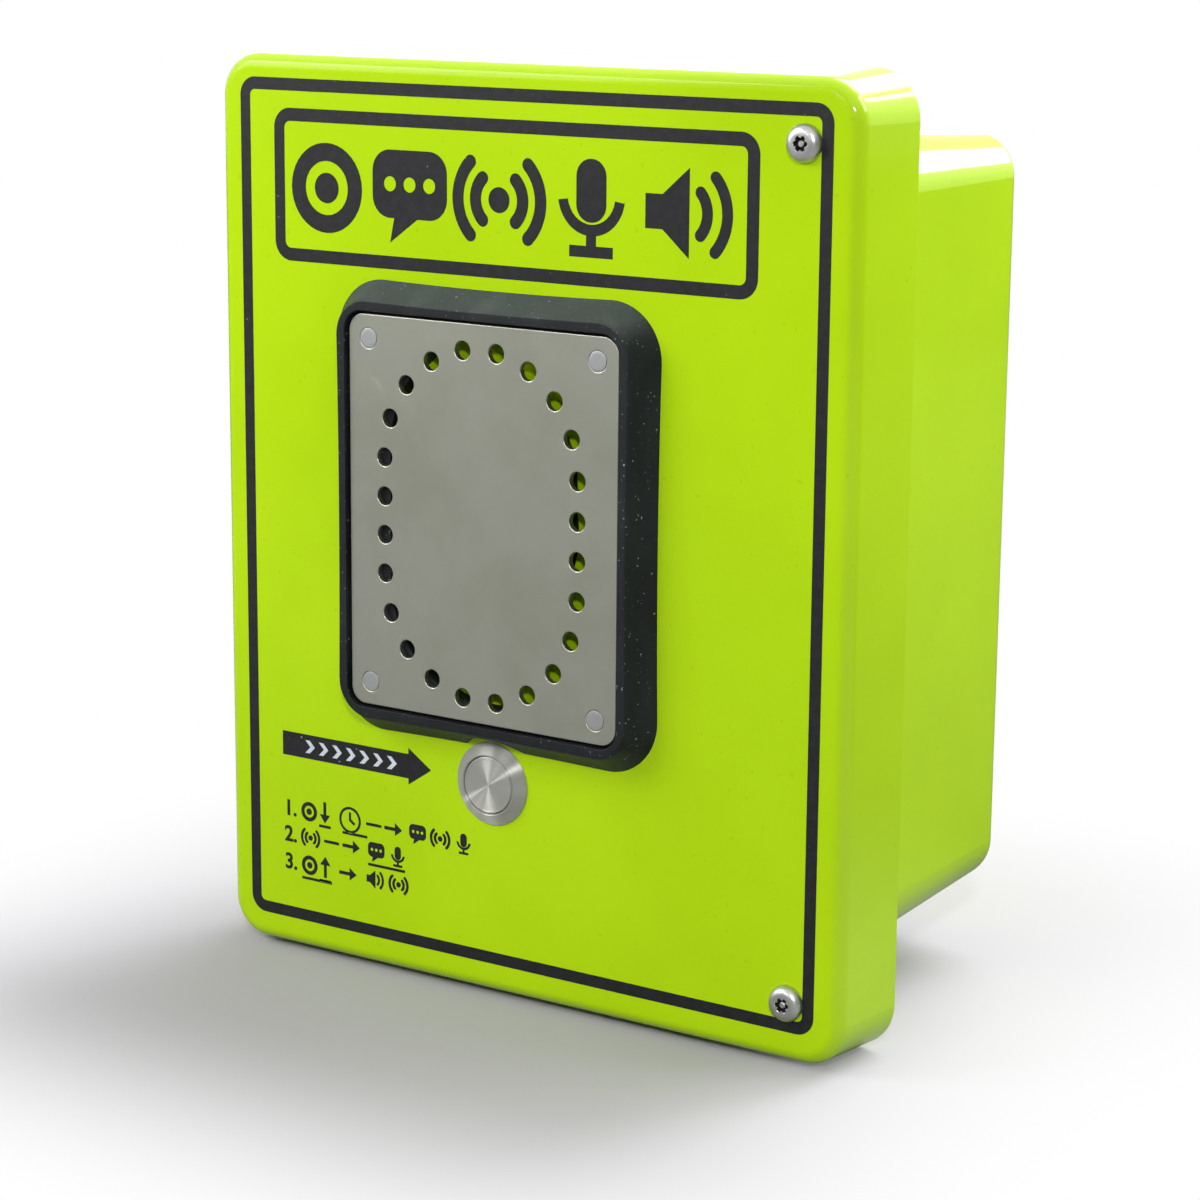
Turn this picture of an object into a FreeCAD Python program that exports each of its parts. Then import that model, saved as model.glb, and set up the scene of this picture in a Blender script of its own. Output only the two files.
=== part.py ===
import FreeCAD, Part
import math
import os

import Sketcher

# A wall-mounted call box: a moulded rear box, a deep hinged cover, and what both hold.
# X runs to the right, Z up, and the wall is the plane Y = 0. The object stands out towards -Y,
# so every "depth" below is a distance from the wall and lies at Y = -depth.

doc = FreeCAD.newDocument("call_box")
sheet = doc.addObject("Spreadsheet::Sheet", "Sizes")

sizes = {
    # overall form
    "total_depth": 114.0,
    "cover_width": 195.2,
    "cover_height": 242.0,
    "cover_depth": 25.0,
    "cover_wall": 3.5,
    "face_thickness": 4.0,
    "cover_corner": 12.3,
    "cover_edge": 3.8,
    "cover_draft": 3.5,
    "box_inset_across": 13.6,
    "box_inset_up": 15.5,
    "box_wall": 4.0,
    "box_floor": 4.0,
    "box_draft": 3.0,
    "box_corner": 16.0,
    "box_edge": 5.5,
    "flange_thickness": 4.0,
    "flange_clearance": 2.0,
    # seal between the box and its cover
    "seal_thickness": 4.0,
    "seal_width": 3.5,
    "seal_inset": 0.3,
    "rib_thickness": 2.5,
    # general clearances
    "fit": 0.05,
    "gap": 0.3,
    "running_fit": 0.05,
    # wall fixings
    "wall_hole": 3.4,
    "wall_hole_inset_across": 32.0,
    "wall_hole_inset_up": 19.5,
    "washer_radius": 8.0,
    "washer_thickness": 1.5,
    # hinge
    "hinge_inset": 22.0,
    "knuckle_radius": 2.4,
    "pin_radius": 1.2,
    "leaf_thickness": 1.5,
    "leaf_reach": 16.0,
    "knuckle_gap": 0.4,
    "knuckle_offset": 1.0,
    "leaf_gap": 0.6,
    "land_margin": 2.0,
    "land_corner": 0.7,
    "pin_head": 1.9,
    "pin_head_length": 1.2,
    "rivet_head": 3.0,
    "rivet_crown": 1.8,
    "rivet_tail": 2.4,
    "rivet_shank": 1.6,
    "rivet_height": 1.1,
    "rivet_inset": 12.0,
    "rivet_reach": 8.8,
    # cover screws
    "screw_inset_across": 16.3,
    "screw_inset_up": 16.7,
    "screw_head": 4.58,
    "screw_head_height": 2.6,
    "screw_head_top": 2.4,
    "screw_dome": 1.15,
    "recess_radius": 1.85,
    "recess_floor": 0.9,
    "recess_pin": 0.65,
    "recess_pin_top": 2.1,
    "screw_shank": 1.95,
    "screw_engaged": 6.3,
    "screw_travel": 7.406,
    "insert_radius": 3.6,
    "insert_bore": 2.42,
    "insert_length": 11.0,
    "boss_radius": 5.5,
    "boss_length": 9.0,
    "retainer_radius": 3.8,
    "retainer_thickness": 1.6,
    # speaker front
    "plate_width": 82.9,
    "plate_height": 102.0,
    "plate_corner": 4.5,
    "plate_thickness": 1.9,
    "plate_recess": 1.1,
    "plate_x": -7.2,
    "plate_z": 4.95,
    "bezel_height": 7.3,
    "bezel_band": 2.65,
    "bezel_corner": 10.0,
    "bezel_base_width": 99.5,
    "bezel_base_height": 118.3,
    "bezel_base_corner": 14.0,
    "bezel_edge": 0.6,
    "bezel_gap": 0.8,
    "bezel_opening_width": 73.0,
    "bezel_opening_height": 94.0,
    "bezel_opening_corner": 14.0,
    "sound_hole": 2.38,
    "sound_ring": 29.6,
    "sound_offset": 15.0,
    "sound_side": 5.0,
    "stud_across": 70.4,
    "stud_up": 89.7,
    "stud_head": 2.7,
    "stud_shank": 2.0,
    "stud_length": 15.7,
    "nut_radius": 4.0,
    "nut_height": 3.2,
    "nut_flange": 4.8,
    "nut_flange_thickness": 0.9,
    # speaker
    "speaker_opening": 25.0,
    "speaker_size": 64.0,
    "speaker_hole_spacing": 53.0,
    "speaker_gasket_outer": 31.0,
    "speaker_gasket_inner": 26.5,
    "speaker_gasket_thickness": 1.5,
    "basket_sheet": 1.4,
    "basket_rim": 28.5,
    "basket_floor": 17.5,
    "basket_depth": 15.0,
    "basket_bore": 11.3,
    "window_width": 14.0,
    "window_margin": 2.8,
    "steel_radius": 16.0,
    "magnet_radius": 16.5,
    "magnet_height": 9.0,
    "magnet_bore": 10.0,
    "pole_radius": 7.0,
    "steel_thickness": 2.5,
    "coil_inner": 7.4,
    "coil_outer": 7.9,
    "coil_height": 10.5,
    "gap_radius": 8.3,
    "cone_radius": 23.0,
    "cone_depth": 8.25,
    "cone_sheet": 0.6,
    "cap_radius": 8.3,
    "cap_top": 3.7,
    "cap_height": 2.6,
    "cap_lift": 1.3,
    "surround_radius": 26.2,
    "surround_thickness": 1.2,
    "surround_back": 0.8,
    "spider_radius": 16.2,
    "spider_thickness": 0.8,
    "cone_travel": 0.5,
    # microphone
    "microphone_drop": 40.0,
    "microphone_radius": 3.0,
    "microphone_length": 3.2,
    "boot_radius": 5.6,
    "boot_length": 7.5,
    "microphone_port": 1.2,
    "port_length": 1.5,
    # push button
    "button_x": -7.7,
    "button_z": -63.2,
    "button_head": 11.0,
    "button_head_height": 2.2,
    "button_edge": 1.1,
    "barrel_radius": 9.5,
    "barrel_length": 19.0,
    "plunger_radius": 7.1,
    "plunger_length": 9.0,
    "plunger_gap": 0.15,
    "plunger_edge": 0.4,
    "button_travel": 2.0,
    "button_nut": 12.7,
    "button_nut_height": 3.5,
    "button_base_radius": 8.8,
    "button_base_length": 10.0,
    "button_lip": 0.6,
    "button_seal_thickness": 0.8,
    "button_spring_inner": 3.5,
    "button_spring_outer": 4.8,
    "button_spring_pressed": 2.5,
    "terminal_spacing": 7.0,
    "terminal_width": 2.8,
    "terminal_thickness": 0.8,
    "terminal_length": 6.0,
    "notch_radius": 13.5,
    # radio board
    "board_width": 140.0,
    "board_height": 50.0,
    "board_thickness": 1.6,
    "board_drop": 52.0,
    "standoff": 8.0,
    "standoff_radius": 3.2,
    "board_corner": 2.0,
    "shield_edge": 1.2,
    "capacitor_radius": 3.0,
    "capacitor_height": 9.0,
    "board_hole_inset": 6.0,
    "small_screw": 1.25,
    "small_head": 2.6,
    "small_head_height": 1.8,
    "slot_width": 0.7,
    "slot_depth": 0.9,
    "board_bite": 6.0,
    "speaker_bite": 2.0,
    "thread_depth": 2.8,
    # aerial
    "aerial_x": 54.0,
    "aerial_radius": 4.6,
    "aerial_length": 96.0,
    "aerial_edge": 2.8,
    "aerial_stand": 4.0,
    "aerial_plug": 3.2,
    "aerial_plug_out": 10.0,
    "aerial_plug_in": 4.0,
    "aerial_foot": 7.2,
    "aerial_foot_length": 6.6,
    # battery pack
    "panel_width": 131.0,
    "panel_height": 150.0,
    "panel_thickness": 2.0,
    "panel_corner": 4.0,
    "panel_boss": 6.0,
    "panel_boss_radius": 5.0,
    "panel_hole_inset": 5.0,
    "cell_radius": 17.1,
    "cell_length": 59.5,
    "cell_nub": 1.8,
    "cell_nub_radius": 4.75,
    "cell_pitch": 36.0,
    "cell_count": 3,
    "spring_length": 5.5,
    "contact_thickness": 0.6,
    "contact_width": 16.0,
    "contact_drop": 1.0,
    "holder_base": 3.0,
    "holder_wall": 2.0,
    "holder_depth": 29.0,
    "strap_width": 14.0,
    "strap_thickness": 1.2,
    "strap_foot": 7.0,
    # wires
    "harness_radius": 2.0,
    "lead_radius": 1.1,
}


class Size:
    # A number from the sheet, or a sum worked out from several, kept with the formula that gives it.
    def __init__(self, formula, amount):
        self.formula = formula
        self.amount = amount

    def __add__(self, other):
        return join(self, "+", other, self.amount + size(other).amount)

    def __radd__(self, other):
        return size(other) + self

    def __sub__(self, other):
        return join(self, "-", other, self.amount - size(other).amount)

    def __rsub__(self, other):
        return size(other) - self

    def __mul__(self, other):
        return join(self, "*", other, self.amount * size(other).amount)

    def __rmul__(self, other):
        return size(other) * self

    def __truediv__(self, other):
        return join(self, "/", other, self.amount / size(other).amount)

    def __neg__(self):
        return 0 - self


def size(number):
    if isinstance(number, Size):
        return number
    return Size(f"({float(number)!r})", float(number))


def join(left, sign, right, amount):
    return Size(f"({left.formula} {sign} {size(right).formula})", amount)


def tangent(angle):
    return Size(f"tan({size(angle).formula} * 1 deg)", math.tan(math.radians(size(angle).amount)))


def sine(angle):
    return Size(f"sin({size(angle).formula} * 1 deg)", math.sin(math.radians(size(angle).amount)))


def cosine(angle):
    return Size(f"cos({size(angle).formula} * 1 deg)", math.cos(math.radians(size(angle).amount)))


def smaller(first, second):
    first, second = size(first), size(second)
    return Size(f"min({first.formula}; {second.formula})", min(first.amount, second.amount))


for row, (word, number) in enumerate(sizes.items(), start=1):
    sheet.set(f"A{row}", word)
    sheet.set(f"B{row}", str(number))
    sheet.setAlias(f"B{row}", word)
doc.recompute()


class Named:
    # Every size of the sheet, under its own word.
    def __init__(self):
        for word, number in sizes.items():
            setattr(self, word, Size(f"Sizes.{word}", float(number)))


s = Named()

# The sizes that follow the cover's
box_width = s.cover_width - 2 * s.box_inset_across
box_height = s.cover_height - 2 * s.box_inset_up
wall_hole_across = box_width - 2 * s.wall_hole_inset_across
wall_hole_up = box_height - 2 * s.wall_hole_inset_up
hinge_length = s.cover_height - 2 * s.hinge_inset
rivet_span = hinge_length - 2 * s.rivet_inset
screw_across = s.cover_width / 2 - s.screw_inset_across
screw_up = s.cover_height / 2 - s.screw_inset_up
board_z = s.cover_height / 2 - s.board_drop
board_hole_across = s.board_width - 2 * s.board_hole_inset
board_hole_up = s.board_height - 2 * s.board_hole_inset

# Planes, as distances from the wall
rear = s.total_depth - s.cover_depth
rim = rear + s.flange_thickness
seal_front = rim + s.seal_thickness
inner_face = s.total_depth - s.face_thickness
slope = tangent(s.box_draft)
cover_slope = tangent(s.cover_draft)

# The box's opening at its rim, where the seal lies
opening_width = box_width - 2 * s.box_wall + 2 * s.flange_thickness * slope
opening_height = box_height - 2 * s.box_wall + 2 * s.flange_thickness * slope
opening_corner = s.box_corner - s.box_wall + s.flange_thickness * slope

FRONTWARD = FreeCAD.Rotation(FreeCAD.Vector(1, 0, 0), 90)
SIDEWAYS = FreeCAD.Rotation(FreeCAD.Vector(0, 1, 0), 90)
UPRIGHT = FreeCAD.Rotation()


def bind(thing, values):
    for path, amount in values.items():
        thing.setExpression(path, size(amount).formula)


def place(thing, turn, x, depth, z):
    thing.Placement = FreeCAD.Placement(FreeCAD.Vector(), turn)
    bind(thing, {"Placement.Base.x": x, "Placement.Base.y": -size(depth), "Placement.Base.z": z})
    return thing


def cylinder(name, radius, start, end, x, z):
    # From one depth to a greater one, pointing to the front
    thing = doc.addObject("Part::Cylinder", name)
    bind(thing, {"Radius": radius, "Height": size(end) - start})
    return place(thing, FRONTWARD, x, start, z)


def post(name, radius, low, high, x, depth):
    thing = doc.addObject("Part::Cylinder", name)
    bind(thing, {"Radius": radius, "Height": size(high) - low})
    return place(thing, UPRIGHT, x, depth, low)


def bar(name, radius, left, right, depth, z):
    thing = doc.addObject("Part::Cylinder", name)
    bind(thing, {"Radius": radius, "Height": size(right) - left})
    return place(thing, SIDEWAYS, left, depth, z)


def cone(name, first, second, start, end, x, z):
    thing = doc.addObject("Part::Cone", name)
    bind(thing, {"Radius1": first, "Radius2": second, "Height": size(end) - start})
    return place(thing, FRONTWARD, x, start, z)


def block(name, left, right, start, end, low, high):
    thing = doc.addObject("Part::Box", name)
    bind(thing, {"Length": size(right) - left, "Width": size(high) - low, "Height": size(end) - start})
    return place(thing, FRONTWARD, left, start, low)


def hexagon(name, radius, start, end, x, z):
    thing = doc.addObject("Part::Prism", name)
    thing.Polygon = 6
    bind(thing, {"Circumradius": radius, "Height": size(end) - start})
    return place(thing, FRONTWARD, x, start, z)


def ring(name, inner, outer, start, end, x, z):
    return cut(name, cylinder(name + "_disc", outer, start, end, x, z),
               cylinder(name + "_hole", inner, start - 1, size(end) + 1, x, z))


def fuse(name, *things):
    thing = doc.addObject("Part::MultiFuse", name)
    thing.Shapes = list(things)
    return thing


def cut(name, base, *tools):
    thing = doc.addObject("Part::Cut", name)
    thing.Base = base
    thing.Tool = tools[0] if len(tools) == 1 else fuse(name + "_tools", *tools)
    return thing


def group(name, *things):
    thing = doc.addObject("Part::Compound", name)
    thing.Links = list(things)
    return thing


def rounded(name, base, radius, picks):
    # Rounds the edges of base that picks() accepts
    doc.recompute()
    thing = doc.addObject("Part::Fillet", name)
    thing.Base = base
    amount = size(radius).amount
    thing.Edges = [(number, amount, amount) for number, edge in enumerate(base.Shape.Edges, start=1)
                   if picks(edge)]
    return thing


def lies_at_depth(depth):
    at = -size(depth).amount
    return lambda edge: abs(edge.BoundBox.YMin - at) < 1e-4 and abs(edge.BoundBox.YMax - at) < 1e-4


def new_body(name):
    return doc.addObject("PartDesign::Body", name)


def sketch_at(body, name, depth):
    # A sketch that faces the front, at a distance from the wall: its x is X and its y is Z
    sketch = body.newObject("Sketcher::SketchObject", name)
    plane = next(item for item in body.Origin.OriginFeatures if item.Role == "XZ_Plane")
    sketch.AttachmentSupport = [(plane, "")]
    sketch.MapMode = "FlatFace"
    bind(sketch, {"AttachmentOffset.Base.z": depth})
    return sketch


def hold(sketch, kind, *where, amount):
    # A dimension of the sketch that follows a size
    number = sketch.addConstraint(Sketcher.Constraint(kind, *where, size(amount).amount))
    sketch.setExpression(f"Constraints[{number}]", size(amount).formula)


def draw_rounded(sketch, width, height, corner, x=0, z=0):
    # A rectangle with round corners about (x, z)
    wide, high, turn = size(width).amount / 2, size(height).amount / 2, size(corner).amount
    across, up = size(x).amount, size(z).amount
    first = sketch.GeometryCount
    sides = [((turn - wide, -high), (wide - turn, -high)), ((wide, turn - high), (wide, high - turn)),
             ((wide - turn, high), (turn - wide, high)), ((-wide, high - turn), (-wide, turn - high))]
    centres = [(wide - turn, turn - high), (wide - turn, high - turn),
               (turn - wide, high - turn), (turn - wide, turn - high)]
    for number in range(4):
        start, end = [FreeCAD.Vector(a + across, b + up, 0) for a, b in sides[number]]
        sketch.addGeometry(Part.LineSegment(start, end))
        a, b = centres[number]
        circle = Part.Circle(FreeCAD.Vector(a + across, b + up, 0), FreeCAD.Vector(0, 0, 1), turn)
        quarter = math.pi / 2
        sketch.addGeometry(Part.ArcOfCircle(circle, (number - 1) * quarter, number * quarter))
    bottom, right, top, left = first, first + 2, first + 4, first + 6
    for number in range(4):
        line, arc, following = first + 2 * number, first + 2 * number + 1, first + (2 * number + 2) % 8
        sketch.addConstraint(Sketcher.Constraint("Tangent", line, 2, arc, 1))
        sketch.addConstraint(Sketcher.Constraint("Tangent", arc, 2, following, 1))
    for line in (bottom, top):
        sketch.addConstraint(Sketcher.Constraint("Horizontal", line))
    for line in (right, left):
        sketch.addConstraint(Sketcher.Constraint("Vertical", line))
    for arc in (first + 3, first + 5, first + 7):
        sketch.addConstraint(Sketcher.Constraint("Equal", first + 1, arc))
    hold(sketch, "Radius", first + 1, amount=corner)
    hold(sketch, "DistanceX", -1, 1, right, 1, amount=size(x) + size(width) / 2)
    hold(sketch, "DistanceX", -1, 1, left, 1, amount=size(x) - size(width) / 2)
    hold(sketch, "DistanceY", -1, 1, top, 1, amount=size(z) + size(height) / 2)
    hold(sketch, "DistanceY", -1, 1, bottom, 1, amount=size(z) - size(height) / 2)


def draw_circle(sketch, radius, x, z):
    centre = FreeCAD.Vector(size(x).amount, size(z).amount, 0)
    number = sketch.addGeometry(Part.Circle(centre, FreeCAD.Vector(0, 0, 1), size(radius).amount))
    hold(sketch, "Radius", number, amount=radius)
    hold(sketch, "DistanceX", -1, 1, number, 3, amount=x)
    hold(sketch, "DistanceY", -1, 1, number, 3, amount=z)


def pad(body, name, sketch, length, taper=None):
    feature = body.newObject("PartDesign::Pad", name)
    feature.Profile = sketch
    bind(feature, {"Length": length})
    if taper is not None:
        bind(feature, {"TaperAngle": taper})
    return feature


def pocket(body, name, sketch, length, taper=None, frontward=True):
    # Cuts from the sketch towards the front, or else towards the wall
    feature = body.newObject("PartDesign::Pocket", name)
    feature.Profile = sketch
    feature.Reversed = frontward
    bind(feature, {"Length": length})
    if taper is not None:
        bind(feature, {"TaperAngle": taper})
    return feature


def round_edges(body, name, base, radius, picks):
    doc.recompute()
    edges = [f"Edge{number}" for number, edge in enumerate(base.Shape.Edges, start=1) if picks(edge)]
    feature = body.newObject("PartDesign::Fillet", name)
    feature.Base = (base, edges)
    bind(feature, {"Radius": radius})
    return feature


def corners(across, up, x=0, z=0):
    # The four corners of a rectangle of holes
    return [(size(x) + i * size(across) / 2, size(z) + k * size(up) / 2)
            for k in (1, -1) for i in (-1, 1)]


def rounded_plate(name, width, height, corner, start, end, x=0, z=0, holes=(), hole=None):
    body = new_body(name)
    sketch = sketch_at(body, name + "_outline", start)
    draw_rounded(sketch, width, height, corner, x, z)
    for across, up in holes:
        draw_circle(sketch, hole, across, up)
    pad(body, name + "_plate", sketch, size(end) - start)
    return body


def frame_ring(name, width, height, corner, thickness, start, end):
    # A rounded frame whose outer outline is given and whose width is thickness
    body = new_body(name)
    sketch = sketch_at(body, name + "_outline", start)
    draw_rounded(sketch, width, height, corner)
    draw_rounded(sketch, width - 2 * thickness, height - 2 * thickness, corner - thickness)
    pad(body, name + "_ring", sketch, size(end) - start)
    return body


parts = {}


def keep(name, thing):
    thing.Label = name
    parts[name] = thing
    return thing


# The rear box

back_width = box_width - 2 * rear * slope
back_height = box_height - 2 * rear * slope
back_corner = s.box_corner - rear * slope
flange_width = s.cover_width - 2 * (s.cover_wall + s.flange_clearance)
flange_height = s.cover_height - 2 * (s.cover_wall + s.flange_clearance)
flange_corner = s.cover_corner - s.cover_wall - s.flange_clearance
screw_places = {"upper": (screw_across, screw_up), "lower": (screw_across, -screw_up)}
panel_start = s.box_floor + s.panel_boss
panel_hole_across = s.panel_width - 2 * s.panel_hole_inset
panel_hole_up = s.panel_height - 2 * s.panel_hole_inset


def make_rear_box():
    body = new_body("rear_box_shell")
    outer = sketch_at(body, "box_outline", 0)
    draw_rounded(outer, back_width, back_height, back_corner)
    shell = pad(body, "box_block", outer, rim, s.box_draft)
    shell = round_edges(body, "box_rear_edge", shell, s.box_edge, lies_at_depth(0))
    flange = sketch_at(body, "flange_outline", rear)
    draw_rounded(flange, flange_width, flange_height, flange_corner)
    pad(body, "box_flange", flange, s.flange_thickness)
    boss_sketch = sketch_at(body, "boss_outline", rear - s.boss_length)
    for x, z in screw_places.values():
        draw_circle(boss_sketch, s.boss_radius, x, z)
    pad(body, "insert_bosses", boss_sketch, s.boss_length)
    inside = sketch_at(body, "inside_outline", s.box_floor)
    lift = s.box_floor * slope - s.box_wall
    draw_rounded(inside, back_width + 2 * lift, back_height + 2 * lift, back_corner + lift)
    pocket(body, "box_hollow", inside, rim - s.box_floor, s.box_draft)
    posts = sketch_at(body, "panel_post_outline", s.box_floor)
    for x, z in corners(panel_hole_across, panel_hole_up):
        draw_circle(posts, s.panel_boss_radius, x, z)
    pad(body, "panel_posts", posts, s.panel_boss)
    inserts = sketch_at(body, "insert_hole_outline", rim)
    for x, z in screw_places.values():
        draw_circle(inserts, s.insert_radius + s.fit, x, z)
    pocket(body, "insert_holes", inserts, s.insert_length, frontward=False)
    threads = sketch_at(body, "panel_thread_outline", panel_start)
    for x, z in corners(panel_hole_across, panel_hole_up):
        draw_circle(threads, s.small_screw + s.fit, x, z)
    pocket(body, "panel_threads", threads, s.panel_boss, frontward=False)
    holes = sketch_at(body, "wall_hole_outline", 0)
    for x, z in corners(wall_hole_across, wall_hole_up):
        draw_circle(holes, s.wall_hole, x, z)
    pocket(body, "wall_holes", holes, s.box_floor)
    rivets = sketch_at(body, "flange_rivet_outline", rear)
    for x, z in box_rivet_places:
        draw_circle(rivets, s.rivet_shank + s.fit, x, z)
    pocket(body, "flange_rivet_holes", rivets, s.flange_thickness)
    keep("rear_box", body)


def make_seal():
    width = opening_width + 2 * (s.seal_inset + s.seal_width)
    height = opening_height + 2 * (s.seal_inset + s.seal_width)
    corner = opening_corner + s.seal_inset + s.seal_width
    keep("cover_seal", frame_ring("seal", width, height, corner, s.seal_width, rim, seal_front))


def make_inserts():
    keep("screw_inserts", group("inserts", *[
        ring(f"{name}_insert", s.insert_bore, s.insert_radius, rim - s.insert_length, rim, x, z)
        for name, (x, z) in screw_places.items()]))


def make_wall_washers():
    keep("wall_washers", group("washers", *[
        ring(f"washer{number}", s.wall_hole, s.washer_radius,
             s.box_floor, s.box_floor + s.washer_thickness, x, z)
        for number, (x, z) in enumerate(corners(wall_hole_across, wall_hole_up))]))


# The hinge: a stainless strip hinge down the left side

axis_x = -(s.cover_width / 2 + s.leaf_thickness + s.knuckle_offset)
axis_depth = rear - s.knuckle_radius
knuckle_count = 9
knuckle_pitch = hinge_length / knuckle_count
hinge_bottom = -hinge_length / 2
rivet_count = 5
seal_outer = opening_width / 2 + s.seal_inset + s.seal_width
box_rivet_x = -(seal_outer + flange_width / 2) / 2
cover_rivet_depth = rear + s.rivet_reach
box_rivet_places = []
cover_rivet_places = []
for rivet in range(rivet_count):
    step = (rivet / (rivet_count - 1) - 0.5) * rivet_span
    box_rivet_places.append((box_rivet_x, step))
    cover_rivet_places.append((cover_rivet_depth, step))


def knuckles(name, first):
    # Every second knuckle, from the one numbered first
    made = []
    for number in range(first, knuckle_count, 2):
        low = hinge_bottom + number * knuckle_pitch + s.knuckle_gap / 2
        high = hinge_bottom + (number + 1) * knuckle_pitch - s.knuckle_gap / 2
        made.append((low, high, post(f"{name}{number}", s.knuckle_radius, low, high, axis_x, axis_depth)))
    return made


def make_hinge():
    bore = s.pin_radius + s.running_fit
    leaf_edge = axis_x + s.knuckle_radius + s.leaf_gap
    leaf_left = -(opening_width / 2 + s.box_wall)
    made = [block("box_leaf_strip", leaf_edge, leaf_left, rear - s.leaf_thickness, rear,
                  hinge_bottom, -hinge_bottom)]
    for low, high, knuckle in knuckles("box_knuckle", 0):
        made.append(knuckle)
        made.append(block(knuckle.Name + "_tab", axis_x, leaf_edge, rear - s.leaf_thickness, rear, low, high))
    tools = [post("box_leaf_bore", bore, hinge_bottom - 1, 1 - hinge_bottom, axis_x, axis_depth)]
    for number, (x, z) in enumerate(box_rivet_places):
        tools.append(cylinder(f"box_leaf_hole{number}", s.rivet_shank + s.fit,
                              rear - 2 * s.leaf_thickness, rear + 1, x, z))
    keep("hinge_box_leaf", cut("box_leaf", fuse("box_leaf_solid", *made), *tools))
    outer = -s.cover_width / 2 - s.leaf_thickness
    made = [block("cover_leaf_strip", outer, -s.cover_width / 2, rear + s.gap, rear + s.leaf_reach,
                  hinge_bottom, -hinge_bottom)]
    for low, high, knuckle in knuckles("cover_knuckle", 1):
        made.append(knuckle)
        made.append(block(knuckle.Name + "_tab", outer, -s.cover_width / 2, axis_depth, rear + s.gap,
                          low, high))
    tools = [post("cover_leaf_bore", bore, hinge_bottom - 1, 1 - hinge_bottom, axis_x, axis_depth)]
    for number, (depth, z) in enumerate(cover_rivet_places):
        tools.append(bar(f"cover_leaf_hole{number}", s.rivet_shank + s.fit, outer - 1,
                         1 - s.cover_width / 2, depth, z))
    keep("hinge_cover_leaf", cut("cover_leaf", fuse("cover_leaf_solid", *made), *tools))
    keep("hinge_pin", fuse("pin_solid",
         post("pin_shaft", s.pin_radius, hinge_bottom, -hinge_bottom, axis_x, axis_depth),
         post("pin_foot", s.pin_head, hinge_bottom - s.pin_head_length, hinge_bottom, axis_x, axis_depth),
         post("pin_head", s.pin_head, -hinge_bottom, s.pin_head_length - hinge_bottom, axis_x, axis_depth)))


def make_hinge_rivets():
    made = []
    for number, (x, z) in enumerate(box_rivet_places):
        head = rear - s.leaf_thickness
        dome = cone(f"box_rivet_head{number}", s.rivet_crown, s.rivet_head, head - s.rivet_height, head, x, z)
        shank = cylinder(f"box_rivet_shank{number}", s.rivet_shank, head, rim, x, z)
        tail = cone(f"box_rivet_tail{number}", s.rivet_tail, s.rivet_shank, rim, rim + s.rivet_height, x, z)
        made.append(fuse(f"box_rivet{number}", dome, shank, tail))
    keep("hinge_box_rivets", group("box_rivets", *made))
    made = []
    outer = -s.cover_width / 2 - s.leaf_thickness
    inner = -s.cover_width / 2 + s.cover_wall + (s.rivet_reach + s.rivet_tail) * cover_slope
    for number, (depth, z) in enumerate(cover_rivet_places):
        head = bar(f"cover_rivet_head{number}", s.rivet_head, outer - s.rivet_height, outer, depth, z)
        shank = bar(f"cover_rivet_shank{number}", s.rivet_shank, outer, inner, depth, z)
        tail = bar(f"cover_rivet_tail{number}", s.rivet_tail, inner, inner + s.rivet_height, depth, z)
        made.append(fuse(f"cover_rivet{number}", head, shank, tail))
    keep("hinge_cover_rivets", group("cover_rivets", *made))


# The cover

stud_places = corners(s.stud_across, s.stud_up, s.plate_x, s.plate_z)
speaker_screw_places = corners(s.speaker_hole_spacing, s.speaker_hole_spacing, s.plate_x, s.plate_z)
board_screw_places = corners(board_hole_across, board_hole_up, 0, board_z)
microphone_z = s.plate_z - s.microphone_drop
basket_back = inner_face - s.speaker_gasket_thickness
board_front = inner_face - s.standoff
board_back = board_front - s.board_thickness


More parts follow.
